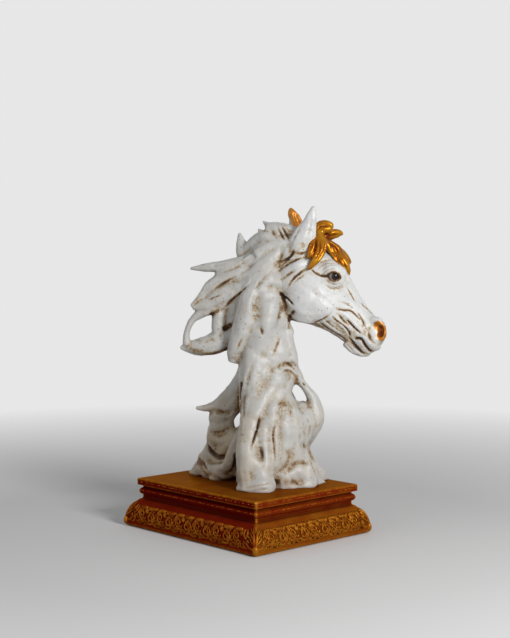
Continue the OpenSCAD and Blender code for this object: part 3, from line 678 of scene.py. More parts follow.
def run_tree():
    """Geometry nodes that lay one motif along the four sides, some left out and all a little uneven."""
    tree, sizes, joined = new_tree("carved_runs", (
        ("Motif", "Object"), ("Pitch", "Float"), ("Long count", "Int"), ("Short count", "Int"),
        ("Half length", "Float"), ("Half width", "Float"), ("Level", "Float"), ("Kept", "Float"),
        ("Uneven", "Float")))
    kept_seed, size_seed = 4, 9
    motif = shape_of(tree, sizes["Motif"])
    kept = random_value(tree, "BOOLEAN", kept_seed, sizes["Kept"])
    small = maths(tree, "SUBTRACT", 1.0, sizes["Uneven"])
    large = maths(tree, "ADD", 1.0, sizes["Uneven"])
    scale = random_value(tree, "FLOAT", size_seed, small, large)

    def run(count):
        """Copies of the motif in a row, as many as the named input says."""
        line = tree.nodes.new("GeometryNodeMeshLine")
        line.mode = "OFFSET"
        tree.links.new(sizes[count], line.inputs["Count"])
        spans = maths(tree, "SUBTRACT", sizes[count], 1.0)
        start = maths(tree, "MULTIPLY", maths(tree, "MULTIPLY", spans, sizes["Pitch"]), -0.5)
        tree.links.new(point(tree, start, 0.0), line.inputs["Start Location"])
        tree.links.new(point(tree, sizes["Pitch"], 0.0), line.inputs["Offset"])
        copies = tree.nodes.new("GeometryNodeInstanceOnPoints")
        tree.links.new(line.outputs["Mesh"], copies.inputs["Points"])
        tree.links.new(motif, copies.inputs["Instance"])
        tree.links.new(kept, copies.inputs["Selection"])
        tree.links.new(scale, copies.inputs["Scale"])
        return copies.outputs["Instances"]

    behind = maths(tree, "MULTIPLY", sizes["Half width"], -1.0)
    left = maths(tree, "MULTIPLY", sizes["Half length"], -1.0)
    long_run = run("Long count")
    short_run = run("Short count")
    level = sizes["Level"]
    set_down(tree, long_run, point(tree, 0.0, behind, level), 0, joined)
    set_down(tree, short_run, point(tree, sizes["Half length"], 0.0, level), 1, joined)
    set_down(tree, long_run, point(tree, 0.0, sizes["Half width"], level), 2, joined)
    set_down(tree, short_run, point(tree, left, 0.0, level), 3, joined)
    return tree


def corner_tree():
    """Geometry nodes that set one leaf at each corner."""
    tree, sizes, joined = new_tree("carved_corners", (
        ("Motif", "Object"), ("Half length", "Float"), ("Half width", "Float")))
    leaf = shape_of(tree, sizes["Motif"])
    behind = maths(tree, "MULTIPLY", sizes["Half width"], -1.0)
    left = maths(tree, "MULTIPLY", sizes["Half length"], -1.0)
    set_down(tree, leaf, point(tree, sizes["Half length"], behind), 0, joined)
    set_down(tree, leaf, point(tree, sizes["Half length"], sizes["Half width"]), 1, joined)
    set_down(tree, leaf, point(tree, left, sizes["Half width"]), 2, joined)
    set_down(tree, leaf, point(tree, left, behind), 3, joined)
    return tree


def grown(name, tree, model, **sizes):
    """A piece of the carving: the plain mesh that a tree of geometry nodes makes from a motif."""
    motif = carved_piece(name + "_motif", model)
    piece = bpy.data.objects.new(name, bpy.data.meshes.new(name))
    bpy.context.scene.collection.objects.link(piece)
    maker = piece.modifiers.new(name, "NODES")
    maker.node_group = tree
    for socket in tree.interface.items_tree:
        if socket.in_out == "INPUT":
            label = socket.name.lower().replace(" ", "_")
            maker[socket.identifier] = motif if label == "motif" else sizes[label]
    bpy.context.view_layer.update()
    evaluated = piece.evaluated_get(bpy.context.evaluated_depsgraph_get())
    mesh = bpy.data.meshes.new_from_object(evaluated)
    piece.modifiers.remove(maker)
    bpy.data.objects.remove(motif)
    piece.data = mesh
    mesh.shade_smooth()
    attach(piece, "root")
    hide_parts("plinth_casting")


runs = run_tree()
halves = {"half_length": half_length * MM, "half_width": half_width * MM}
even = {"level": 0.0, "kept": 1.0, "uneven": 0.0}
for name, motif, count in (("plinth_scrolls", scroll_motif(), 5), ("plinth_tendrils", tendril_motif(), 6),
                           ("plinth_tangle", tangle_motif(), 6)):
    grown(name, runs, motif, pitch=pitch * MM, long_count=count, short_count=count - 1, **halves, **even)
grown("plinth_corner_leaves", corner_tree(), corner_motif(), **halves)
mark_pitch = 2.7
for name, inset, z, kept in (("slab_tooling", slab_in, 46.4, 0.62), ("bead_tooling", bead_in, 37.6, 0.72)):
    long_side = 2 * (half_length - inset)
    short_side = 2 * (half_width - inset)
    grown(name, runs, tooled_mark(), pitch=mark_pitch * MM, long_count=int(long_side / mark_pitch),
          short_count=int(short_side / mark_pitch), half_length=(half_length - inset) * MM,
          half_width=(half_width - inset) * MM, level=z * MM, kept=kept, uneven=0.35)


# Neck, mane and head: three resin castings, pegged and bonded, whose joints are filled and painted
# over. So they are modelled as one lump of clay, worked with tools, and then parted where they meet.
VOXEL = 0.9
REACH = 10.0
LOW = np.array((-72.0, -78.0, -3.6))
HIGH = np.array((152.0, 70.0, 288.0))
CELLS = np.ceil((HIGH - LOW) / VOXEL).astype(int) + 1
TURN = math.radians(45.0)
NEAR, FAR, BOTH = (-1,), (1,), (-1, 1)


def to_bust(points):
    """Metres in the object's frame to millimetres forward, left and up from the foot of the bust."""
    x, y, z = np.asarray(points, float).T / MM
    forward = x * math.cos(TURN) + y * math.sin(TURN)
    left = y * math.cos(TURN) - x * math.sin(TURN)
    return np.stack((forward, left, z - plinth_top), axis=1)


def from_bust(points):
    """Millimetres forward, left and up from the foot of the bust to millimetres in the object's frame."""
    forward, left, up = np.asarray(points, float).T
    x = forward * math.cos(TURN) - left * math.sin(TURN)
    y = forward * math.sin(TURN) + left * math.cos(TURN)
    return np.stack((x, y, up + plinth_top), axis=1)


def level_set(node_name):
    """Distance to a casting's skin at every point of the clay's grid, negative inside."""
    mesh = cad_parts[node_name].data
    corners = np.empty(3 * len(mesh.vertices), np.float32)
    mesh.vertices.foreach_get("co", corners)
    mesh.calc_loop_triangles()
    triangles = np.empty(3 * len(mesh.loop_triangles), np.int32)
    mesh.loop_triangles.foreach_get("vertices", triangles)
    points = ((to_bust(corners.reshape(-1, 3)) - LOW) / VOXEL).astype(np.float32)
    grid = openvdb.FloatGrid.createLevelSetFromPolygons(
        points, triangles=triangles.reshape(-1, 3).astype(np.uint32), halfWidth=REACH / VOXEL)
    field = np.empty(CELLS, np.float32)
    grid.copyToArray(field)
    return field * np.float32(VOXEL)


def fused(first, second, soft):
    """Union of two fields with a fillet."""
    near = np.maximum(soft - np.abs(first - second), 0) / soft
    return np.minimum(first, second) - near * near * (soft / 4)


def pared(first, second, soft):
    """What is left of the first field outside the second, with a softened edge."""
    return -fused(-first, second, soft)


def blurred(field, width):
    """The field averaged over about twice the width, in millimetres."""
    reach = int(3 * width / VOXEL + 0.5)
    weights = np.exp(-0.5 * (np.arange(-reach, reach + 1) * VOXEL / width) ** 2)
    weights = (weights / weights.sum()).astype(np.float32)
    for axis in range(3):
        pad = [(reach, reach) if i == axis else (0, 0) for i in range(3)]
        wide = np.pad(field, pad, mode="edge")
        total = np.zeros_like(field)
        for i, weight in enumerate(weights):
            part = [slice(None)] * 3
            part[axis] = slice(i, i + field.shape[axis])
            total += weight * wide[tuple(part)]
        field = total
    return field


def thickness(clay, gain):
    """1 in the thick body of the clay, 0 at its thin tips; a higher gain reaches nearer to the tips."""
    deep = 7.0
    core = blurred((clay < -deep).astype(np.float32), 6.0)
    return np.clip(core * gain, 0.0, 1.0)


def softened(clay, fine, broad):
    """Clay with its facets rubbed away: finely at thin tips, broadly on the thick body."""
    def rubbed(width):
        """The clay averaged, with what that takes off the corners put back."""
        once = blurred(clay, width)
        return 2 * once - blurred(once, width)
    thick = thickness(clay, 5.0)
    return thick * rubbed(broad) + (1 - thick) * rubbed(fine)


def grid_places(axis):
    """Places of the grid's points along one axis, in millimetres."""
    return LOW[axis] + VOXEL * np.arange(CELLS[axis])


def valley_fill(clay, width, less, most, spared):
    """Clay that fills the valleys of the thick body, up to a depth; openings (x, z, radius) are spared."""
    core = thickness(clay, 6.0)
    forward = grid_places(0)[:, None, None]
    up = grid_places(2)[None, None, :]
    for x, z, radius in spared:
        outside = np.clip(np.hypot(forward - x, up - z) / radius - 0.8, 0.0, 1.0)
        core = core * outside.astype(np.float32)
    out_of_reach = 4.0
    return np.maximum(blurred(clay, width) + less, clay - most * core) + out_of_reach * (1.0 - core)


def smoothed_over(clay, width, spots):
    """Clay worked smooth inside ovals (x, z, half length, half height) seen from the side."""
    forward = grid_places(0)[:, None, None]
    up = grid_places(2)[None, None, :]
    share = np.zeros((CELLS[0], 1, CELLS[2]))
    for x, z, long, high in spots:
        away = np.hypot((forward - x) / long, (up - z) / high)
        share = np.maximum(share, np.clip(2.5 * (1.0 - away), 0.0, 1.0))
    return clay + share.astype(np.float32) * (blurred(clay, width) - clay)


def sampled(field, points):
    """Values of a field at points in millimetres."""
    place = np.clip((np.asarray(points, float) - LOW) / VOXEL, 0, np.array(field.shape) - 1.001)
    cell = place.astype(int)
    share = place - cell
    total = np.zeros(len(place))
    for corner in np.ndindex(2, 2, 2):
        weight = np.prod(np.where(np.array(corner) == 1, share, 1 - share), axis=1)
        i, j, k = (cell + np.array(corner)).T
        total += weight * field[i, j, k]
    return total


def outward(clay, points):
    """Directions square to the skin at points near it."""
    slopes = []
    feeler = 1.2
    for axis in range(3):
        step = np.zeros(3)
        step[axis] = feeler
        slopes.append(sampled(clay, points + step) - sampled(clay, points - step))
    slopes = np.stack(slopes, axis=1)
    return slopes / np.maximum(np.linalg.norm(slopes, axis=1), 1e-6)[:, None]


def eased(values, passes=4):
    """Rows of numbers smoothed along a line, with its ends kept."""
    for _ in range(passes):
        inner = (values[:-2] + 2 * values[1:-1] + values[2:]) / 4
        values = np.concatenate((values[:1], inner, values[-1:]))
    return values


def paced(points):
    """Points a millimetre apart along a line."""
    points = np.asarray(points, float)
    steps = np.linalg.norm(np.diff(points, axis=0), axis=1)
    length = np.concatenate(([0.0], np.cumsum(steps)))
    even = np.linspace(0.0, length[-1], max(int(length[-1]) + 1, 3))
    return np.stack([np.interp(even, length, column) for column in points.T], axis=1)


def trail(clay, rows, side):
    """Points along a curve drawn on one side of the clay, as far as its skin is unbroken, and the
    directions square to the skin there."""
    break_at = 6.0
    found = []
    for x, z in paced(curve_through(rows, 24)):
        i = int(round((x - LOW[0]) / VOXEL))
        k = int(round((z - LOW[2]) / VOXEL))
        inside = np.nonzero(clay[i, :, k] < 0)[0]
        if len(inside):
            found.append((x, LOW[1] + VOXEL * (inside[0] if side < 0 else inside[-1]), z))
    found = np.array(found)
    jumps = np.nonzero(np.abs(np.diff(found[:, 1])) > break_at)[0] + 1
    points = paced(eased(max(np.split(found, jumps), key=len)))
    for _ in range(4):
        away = np.clip(sampled(clay, points), -2.0, 2.0)
        points = points - outward(clay, points) * away[:, None]
    out = eased(outward(clay, points))
    return points, out / np.linalg.norm(out, axis=1)[:, None]


def ball_chain(points, radii, margin=4.0):
    """Distance to a chain of balls, on the part of the grid that it touches."""
    reach = radii[:, None] + margin
    first = np.clip(((points - reach - LOW) / VOXEL).astype(int), 0, CELLS - 1)
    last = np.clip(((points + reach - LOW) / VOXEL).astype(int) + 2, 1, CELLS)
    low, high = first.min(axis=0), last.max(axis=0)
    axes = [LOW[i] + VOXEL * np.arange(low[i], high[i]) for i in range(3)]
    field = np.full(high - low, margin, np.float32)
    for middle, radius, a, b in zip(points, radii, first - low, last - low):
        part = tuple(slice(a[i], b[i]) for i in range(3))
        x, y, z = (axes[i][part[i]] - middle[i] for i in range(3))
        away = np.sqrt((x * x)[:, None, None] + (y * y)[None, :, None] + (z * z)[None, None, :]) - radius
        field[part] = np.minimum(field[part], away)
    return tuple(slice(low[i], high[i]) for i in range(3)), field


def faded(count, taper):
    """Shares that rise from nothing at both ends of a stroke."""
    place = np.linspace(0.0, 1.0, count)
    rise = np.clip(np.minimum(place, 1 - place) / max(taper, 1e-3), 0.0, 1.0)
    return rise * rise * (3 - 2 * rise)


def pressure(count, seed):
    """Shares that waver along a stroke as a hand's pressure does."""
    knots = np.random.default_rng(seed).uniform(0.55, 1.15, count // 4 + 3)
    return np.interp(np.linspace(0, len(knots) - 1, count), np.arange(len(knots)), knots)


def carve(model, rows, radius, depth, wash=0.0, sides=NEAR, taper=0.45, soft=1.2):
    """Draws a round-nosed gouge along a curve; the brown wash is dark in its bottom, and thin round it."""
    for side in sides:
        points, out = trail(model["clay"], rows, side)
        seed = int(100 + rows[0][0] + rows[-1][1])
        share = faded(len(points), taper) * pressure(len(points), seed)
        middles = points + out * (radius - depth * share)[:, None]
        window, tool = ball_chain(middles, np.full(len(points), radius))
        model["clay"][window] = pared(model["clay"][window], tool, soft)
        if wash:
            line = (points - out * depth / 2)[share > 0.25]
            smear(model, line, 0.7 + 0.25 * radius, wash)
            smear(model, line, 2.2 + radius, 0.35 * wash)


def build(model, rows, radius, height, sides=NEAR, taper=0.35, soft=3.0):
    """Lays a roll of clay along a curve so that it stands up by the height."""
    for side in sides:
        points, out = trail(model["clay"], rows, side)
        proud = height * faded(len(points), taper)
        middles = points - out * (radius - proud)[:, None]
        window, tool = ball_chain(middles, np.full(len(points), radius))
        model["clay"][window] = fused(model["clay"][window], tool, soft)


def smear(model, points, radius, amount, layer="wash"):
    """Leaves a stain round points in millimetres."""
    points = np.asarray(points, float)
    window, away = ball_chain(points, np.zeros(len(points)), 2.2 * radius)
    mark = (amount * np.exp(-(away / radius) ** 2)).astype(np.float32)
    model[layer][window] = np.maximum(model[layer][window], mark)


def stain(model, rows, radius, amount, sides=NEAR, layer="wash"):
    """Leaves a stain along a curve drawn on the clay."""
    for side in sides:
        points, _ = trail(model["clay"], rows, side)
        smear(model, points, radius, amount, layer)


def add(model, rows, soft=4.0):
    """Lays clay along a curve through (forward, left, up, radius)."""
    line = curve_through(rows, 10)
    window, tool = ball_chain(line[:, :3], line[:, 3], 6.0)
    model["clay"][window] = fused(model["clay"][window], tool, soft)


def lumps(seed, spacing):
    """Seeded unevenness over the whole grid, with humps and dips as far apart as the spacing."""
    count = np.ceil(CELLS * VOXEL / spacing).astype(int) + 2
    field = np.random.default_rng(seed).standard_normal(count).astype(np.float32)
    for axis in range(3):
        place = np.arange(CELLS[axis]) * VOXEL / spacing
        cell = place.astype(int)
        share = (place - cell).astype(np.float32)
        share = (share * share * (3 - 2 * share)).reshape([-1 if i == axis else 1 for i in range(3)])
        before = np.take(field, cell, axis)
        field = before + (np.take(field, cell + 1, axis) - before) * share
    return field


castings = ("head_casting", "mane_casting", "neck_casting")
solids = {name: level_set(name) for name in castings}
joint_fillet = 6.0
whole = fused(solids["neck_casting"], solids["head_casting"], joint_fillet)
whole = fused(whole, solids["mane_casting"], joint_fillet)
whole = fused(whole, blurred(whole, 4.0) + 0.9, 2.0)
openings = ((53, 94, 16), (-10, 60, 15), (-38, 152, 24), (-14, 30, 12))
whole = fused(whole, valley_fill(whole, width=8.0, less=0.6, most=4.5, spared=openings), 3.0)
plain_spots = ((26, 62, 30, 56), (22, 146, 26, 44), (-28, 52, 18, 20))
whole = smoothed_over(whole, width=5.5, spots=plain_spots)
foot_h = 16.0
foot = np.clip(1.0 - grid_places(2) / foot_h, 0.0, 1.0).astype(np.float32)
rough = 0.45 * lumps(3, 14.0) + 0.28 * lumps(5, 6.5) + 0.12 * lumps(7, 2.7)
rough += 0.7 * lumps(8, 6.0) * foot[None, None, :]
bust = {"clay": softened(whole, fine=1.1, broad=3.2) + rough}
bust["wash"] = np.zeros_like(whole)
bust["gild"] = np.zeros_like(whole)

# Neck: the casting that stands on the plinth. Its muscles, the folds of the drapery and the scrolls in
# front and behind are rolled on and cut in, and brown wash is dabbed into the folds. A dark stain down the
# gap behind the column is painted shadow.
add(bust, [(5, -54, 4, 5), (12, -60, 4, 7), (20, -60, 4, 7), (26, -52, 5, 6)], 5.0)
build(bust, [(26, 183), (24, 174), (21, 162), (16, 150), (9, 136), (4, 120)], 9.0, 2.6,
      taper=0.15, soft=4.0)
build(bust, [(9, 198), (3, 178), (-3, 156), (-9, 139)], 6.0, 1.6, soft=4.0)
carve(bust, [(24, 200), (15, 194), (11, 184), (12, 172), (15, 158)], 5.0, 2.6, soft=3.0)
carve(bust, [(20, 199), (28, 200), (35, 194)], 4.0, 2.4, soft=3.0)
carve(bust, [(38, 184), (36, 174), (32, 162)], 3.4, 1.8, soft=2.0)
carve(bust, [(16, 161), (17, 157), (19, 152)], 1.8, 1.6, 0.6)
carve(bust, [(-3, 106), (-5, 96), (-6, 84), (-8, 72)], 2.6, 4.0, 1.0, taper=0.25)
carve(bust, [(12, 132), (6, 118), (2, 104), (0, 90)], 4.0, 1.4, 0.1)
carve(bust, [(36, 151), (32, 141), (28, 133)], 0.9, 0.8, 0.5)
carve(bust, [(27, 117), (36, 122), (46, 122), (54, 116)], 4.0, 2.0, 0.35, soft=2.0)
carve(bust, [(34, 112), (41, 117), (48, 114), (53, 106)], 1.2, 1.2, 0.5)
carve(bust, [(40, 125), (46, 121), (53, 113)], 1.0, 0.9, 0.5)
carve(bust, [(45, 128), (50, 122), (55, 117)], 0.9, 0.7, 0.4)
carve(bust, [(57, 104), (60, 101), (62, 98)], 1.2, 2.0, 0.8)
build(bust, [(34, 106), (22, 92), (14, 78), (8, 62), (4, 44), (3, 24)], 6.0, 2.2, soft=5.0)
build(bust, [(38, 96), (29, 82), (22, 66), (20, 52), (22, 34)], 5.0, 2.2, soft=4.0)
build(bust, [(8, 36), (12, 24), (16, 12)], 7.0, 1.6, soft=5.0)
carve(bust, [(16, 76), (14, 64), (11, 53), (7, 41)], 1.4, 3.4, 1.0)
carve(bust, [(1, 92), (-1, 82), (0, 71)], 3.0, 1.2, 0.35)
carve(bust, [(16, 47), (17, 36), (19, 26)], 3.6, 2.4, 0.4, soft=2.0)
carve(bust, [(17, 42), (18, 36), (19, 30)], 1.6, 1.2, 0.5)
build(bust, [(31, 78), (29, 60), (30, 44), (32, 26)], 5.0, 1.6, taper=0.2, soft=5.0)
build(bust, [(40, 78), (42, 60), (42, 44), (40, 30)], 7.0, 1.4, soft=5.0)
carve(bust, [(32, 68), (29, 55), (30, 42), (31, 29)], 1.1, 1.3, 0.6)
build(bust, [(46, 12), (54, 16), (62, 12)], 7.0, 2.2, soft=4.0)
carve(bust, [(38, 18), (44, 30), (43, 37)], 3.0, 1.2, 0.3, soft=2.0)
carve(bust, [(33, 8), (42, 16), (52, 25), (64, 24)], 2.6, 1.2, 0.15, soft=2.0)
carve(bust, [(3, 4), (13, 7), (26, 9), (34, 7)], 1.0, 1.0, 0.5)
carve(bust, [(13, 3), (21, 4), (28, 2)], 1.0, 0.9, 0.4)
carve(bust, [(64, 30), (69, 20), (73, 8)], 2.2, 1.6, 0.5)
carve(bust, [(62, 70), (66, 58), (62, 46)], 3.0, 1.0, 0.2)
carve(bust, [(-40, 69), (-31, 70), (-21, 69), (-12, 72)], 4.0, 2.4, 0.3, soft=2.0)
build(bust, [(-37, 54), (-28, 52), (-18, 56)], 4.0, 1.4, soft=4.0)
carve(bust, [(-37, 48), (-26, 49), (-15, 55)], 1.4, 1.2, 0.45)
build(bust, [(-38, 42), (-29, 38), (-20, 43)], 4.0, 2.0)
carve(bust, [(-43, 33), (-36, 25), (-28, 22), (-19, 27), (-12, 42)], 2.4, 4.5, 0.9, taper=0.2, soft=3.0)
stain(bust, [(-38, 30), (-28, 27), (-20, 32)], 4.0, 0.7)
build(bust, [(-46, 23), (-32, 14), (-19, 17), (-11, 30)], 4.0, 2.2)
carve(bust, [(-7, 44), (-8, 30), (-8, 16), (-6, 1)], 4.5, 7.0, 1.0, taper=0.1)
build(bust, [(-54, 20), (-46, 18), (-38, 10), (-27, 7), (-12, 4)], 5.0, 2.4)
build(bust, [(-9, 50), (-14, 37), (-18, 26), (-24, 12)], 3.5, 2.2)
carve(bust, [(-9, 30), (-11, 20), (-16, 11)], 2.0, 2.4, 0.9)
carve(bust, [(-52, 19), (-44, 13), (-36, 5)], 1.8, 1.6, 0.8)
# Painted shadow: a dark stain down the gap between the rear drape and the column, to the plinth.
gap_shadow_path = [(-4, -24, 100), (-7, -26, 72), (-8, -30, 38), (-9, -32, 20), (-8, -34, 3)]
smear(bust, curve_through(gap_shadow_path, 8), 7.0, 0.9)
for row in ([(20, 124), (14, 96), (10, 60), (8, 30)], [(36, 112), (34, 80), (32, 40), (33, 16)],
            [(48, 100), (50, 70), (52, 40), (56, 16)], [(-2, 110), (-10, 80), (-14, 50), (-16, 20)]):
    carve(bust, row, 2.4, 2.2, 0.4, FAR)
build(bust, [(27, 192), (22, 172), (14, 148), (8, 124)], 9.0, 2.6, FAR, 0.15, 4.0)
carve(bust, [(17, 192), (11, 170), (6, 148)], 4.0, 2.2, 0.2, FAR)
for row, width, amount in (
        ([(38, 84), (46, 81), (55, 82)], 4.5, 0.6), ([(41, 78), (50, 74)], 3.5, 0.4),
        ([(61, 96), (65, 86), (64, 78)], 4.0, 0.6), ([(76, 62), (72, 55)], 3.5, 0.55),
        ([(55, 52), (54, 46), (60, 40)], 4.0, 0.5), ([(66, 29), (72, 17), (75, 6)], 4.5, 0.7),
        ([(44, 37), (44, 28), (39, 19)], 4.5, 0.6), ([(32, 7), (42, 8), (58, 3)], 4.0, 0.9),
        ([(42, 17), (52, 25), (63, 24)], 4.0, 0.35),
        ([(40, 182), (46, 177)], 4.5, 0.6), ([(33, 172), (36, 180)], 3.0, 0.4),
        ([(10, 184), (11, 174)], 4.0, 0.25), ([(42, 114), (48, 112), (54, 104)], 5.5, 0.7),
        ([(30, 118), (40, 123), (50, 121)], 3.5, 0.5), ([(4, 1), (14, 3), (28, 1)], 2.5, 0.6),
        ([(-56, 20), (-48, 12), (-39, 4)], 5.0, 0.9), ([(-18, 10), (-11, 16), (-7, 26)], 5.0, 0.9),
        ([(-40, 68), (-30, 69), (-18, 69)], 4.0, 0.5), ([(-38, 46), (-26, 47)], 4.0, 0.35),
        # The first stain on the next line runs down the same gap: painted shadow.
        ([(-4, 104), (-7, 86), (-10, 68)], 4.5, 0.7), ([(0, 90), (0, 74)], 4.0, 0.4),
        ([(-20, 5), (-32, 3), (-40, 2)], 3.0, 0.6), ([(35, 150), (31, 140)], 2.5, 0.3),
        ([(18, 104), (12, 90)], 4.0, 0.15), ([(3, 8), (4, 30)], 3.0, 0.25)):
    stain(bust, row, width, amount)

# Mane: the casting behind the head and neck, blown back in spikes, with a loop. Shallow grooves run
# along the hair, and the wash stays in them.
add(bust, [(25, 0, 260, 4), (21, 0, 264, 2.4), (18, 0, 267, 1.2)], 2.0)
add(bust, [(19, 0, 253, 4), (15, 0, 257, 2), (13, 0, 259, 1.2)], 2.0)
carve(bust, [(-36, 195), (-24, 203), (-14, 209), (-3, 215)], 1.6, 1.8, 0.7)
carve(bust, [(-41, 186), (-31, 190), (-22, 193)], 1.4, 1.3, 0.6)
carve(bust, [(-24, 177), (-14, 187), (-5, 195), (7, 206)], 1.2, 2.0, 0.9)
carve(bust, [(-24, 156), (-15, 162), (-5, 170)], 2.8, 3.0, 0.9)
carve(bust, [(-2, 152), (-5, 144), (-10, 134)], 2.2, 1.6, 0.3)
carve(bust, [(-12, 206), (2, 219), (18, 232), (30, 238)], 2.4, 1.4, 0.1, BOTH)
carve(bust, [(-9, 225), (12, 241), (33, 252)], 3.0, 1.3, 0.05, BOTH)
carve(bust, [(-28, 214), (-12, 219), (6, 231)], 2.0, 1.2, 0.15, BOTH)
carve(bust, [(-48, 220), (-30, 222), (-12, 226)], 2.0, 1.2, 0.15, BOTH)
carve(bust, [(-50, 188), (-40, 197), (-28, 206)], 2.4, 1.2, 0.15, BOTH)
carve(bust, [(8, 190), (14, 204), (26, 216)], 2.6, 1.4, 0.15)
carve(bust, [(31, 263), (35, 256), (40, 247)], 1.1, 1.8, 0.9, BOTH)
carve(bust, [(36, 264), (40, 256), (45, 247)], 1.1, 1.8, 1.0, BOTH)
carve(bust, [(25, 261), (29, 254), (34, 245)], 1.6, 1.2, 0.3, BOTH)
for row in ([(-36, 200), (-20, 207), (-4, 213)], [(-30, 186), (-14, 196), (4, 206)],
            [(-20, 176), (-6, 190), (8, 200)], [(-8, 160), (-2, 178), (8, 196)],
            [(-30, 172), (-14, 180), (0, 190)]):
    carve(bust, row, 1.6, 1.6, 0.4, FAR)
for row, width, amount in (
        ([(-34, 174), (-28, 176)], 3.5, 0.9), ([(-56, 180), (-49, 188)], 4.0, 1.3),
        ([(-60, 141), (-45, 134), (-30, 133), (-16, 137)], 4.5, 1.2), ([(-13, 132), (-10, 126)], 3.5, 0.8),
        ([(-59, 156), (-57, 167), (-52, 178)], 2.5, 0.6), ([(-52, 147), (-44, 144), (-34, 147)], 2.5, 0.7),
        ([(18, 262), (20, 258)], 3.0, 0.9), ([(40, 262), (46, 252)], 3.5, 0.8),
        ([(-60, 138), (-64, 150)], 3.0, 0.6), ([(-50, 192), (-40, 200)], 3.0, 0.3)):
    stain(bust, row, width, amount, BOTH)


# Head: the casting in front, with lids over the balls of the eyes, a brow, a cheek, a wrinkled muzzle,
# a mouth and nostrils. The nostrils and the insides of the ears are picked out in gold.
def eyelids(model, node_name, side):
    """Lids round an eye, with an almond-shaped opening in front of the ball."""
    low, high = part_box(node_name)
    middle = to_bust([(np.asarray(low) + np.asarray(high)) / 2])[0]
    ball_r = (high[2] - low[2]) / MM / 2
    lid_t, lid_fillet, lid_front = 1.2, 9.0, 3.0
    wide, tall, tilt = 11.4, 7.4, math.radians(-10.0)
    reach = 20
    first = ((middle - reach - LOW) / VOXEL).astype(int)
    last = ((middle + reach - LOW) / VOXEL).astype(int)
    window = tuple(slice(a, b) for a, b in zip(first, last))
    axes = [LOW[i] + VOXEL * np.arange(first[i], last[i]) - middle[i] for i in range(3)]
    x, y, z = np.meshgrid(*axes, indexing="ij")
    clay = fused(model["clay"][window], np.sqrt(x * x + y * y + z * z) - ball_r - lid_t, lid_fillet)
    along = x * math.cos(tilt) + z * math.sin(tilt)
    across = z * math.cos(tilt) - x * math.sin(tilt)
    lid_r = (wide ** 2 + tall ** 2) / (4 * tall)
    shift = lid_r - tall / 2
    gap = np.maximum(np.hypot(along, across + shift), np.hypot(along, across - shift)) - lid_r
    line = np.where(side * y > 0, 3.0 * np.exp(-((gap - 0.9) / 1.1) ** 2), 0.0).astype(np.float32)
    model["wash"][window] = np.maximum(model["wash"][window], line)
    gap = np.maximum(gap, lid_front - side * y)
    model["clay"][window] = pared(clay, gap, 0.8)


build(bust, [(70, 219), (79, 221), (89, 221), (98, 215)], 4.5, 2.2, BOTH)
eyelids(bust, "near_eye", -1)
eyelids(bust, "far_eye", 1)
carve(bust, [(66, 219), (73, 213.5), (79, 211.5), (84, 212)], 1.0, 1.6, 1.2, BOTH, 0.15)
carve(bust, [(78, 213), (83, 218), (90, 219.5), (97, 214)], 0.9, 1.1, 0.7, BOTH)
carve(bust, [(76, 217), (81, 221), (88, 223.5), (95, 220)], 1.0, 1.0, 0.4, BOTH)
carve(bust, [(73, 223), (80, 227), (88, 228)], 1.2, 0.8, 0.3, BOTH)
carve(bust, [(72, 218), (77, 222), (80, 225)], 0.9, 0.7, 0.3, BOTH)
carve(bust, [(82, 207.5), (89, 203.5), (98, 205)], 0.9, 0.9, 0.5, BOTH)
carve(bust, [(80, 203), (89, 199), (98, 201)], 1.5, 0.7, 0.1, BOTH)
stain(bust, [(80, 211.5), (84, 212)], 1.2, 1.5, BOTH)
stain(bust, [(82, 209), (88, 205), (96, 206)], 2.4, 0.6, BOTH)
carve(bust, [(34, 196), (38, 192), (43, 189), (49, 182)], 1.1, 2.6, 1.3, taper=0.2)
carve(bust, [(36, 194), (39, 188), (42, 180)], 1.6, 2.2, 0.7)
stain(bust, [(39, 189), (43, 184), (46, 176)], 4.5, 0.75)
carve(bust, [(53, 180), (47, 173), (43, 164)], 2.2, 2.0, 0.5, BOTH)
carve(bust, [(44, 166), (54, 165), (65, 163)], 1.6, 1.8, 0.9, BOTH)
carve(bust, [(62, 164), (78, 158.5), (89, 152), (99, 146)], 1.1, 1.5, 0.9, BOTH)
carve(bust, [(58, 203), (72, 194), (84, 185), (94, 177)], 5.0, 0.9, 0.0, BOTH)
carve(bust, [(91, 178), (84, 172), (76, 167), (66, 163)], 1.6, 1.4, 0.4, BOTH)
build(bust, [(97, 177), (105, 169), (113, 161), (118, 154)], 2.4, 1.4, BOTH, soft=2.0)
build(bust, [(88, 172), (97, 164), (104, 156)], 2.4, 1.4, BOTH, soft=2.0)
build(bust, [(80, 166), (90, 159), (99, 152)], 2.2, 1.2, BOTH, soft=2.0)
for row, depth, wash in (
        ([(89, 180), (98, 177.5), (106, 177), (112, 172), (119, 165)], 1.3, 0.8),
        ([(86, 174), (92, 167), (99, 162), (105, 155), (107, 148)], 1.8, 1.1),
        ([(101, 170), (108, 162), (114, 156), (121, 151)], 1.5, 0.9),
        ([(94, 174), (99, 167), (106, 161)], 1.1, 0.7),
        ([(75, 166), (83, 159), (91, 154), (102, 147)], 1.6, 1.1),
        ([(80, 168), (88, 161), (97, 155)], 1.2, 0.7),
        ([(72, 162), (84, 156), (96, 149)], 1.2, 0.8),
        ([(113, 176), (118, 168), (121, 161)], 1.1, 0.6),
        ([(103, 200), (107, 193), (112, 185)], 0.9, 0.5),
        ([(116, 185), (122, 180), (128, 174), (134, 168)], 1.0, 0.6),
        ([(96, 186), (104, 183), (110, 178)], 0.8, 0.25)):
    carve(bust, row, 1.0, depth, 1.25 * wash, BOTH, 0.25)
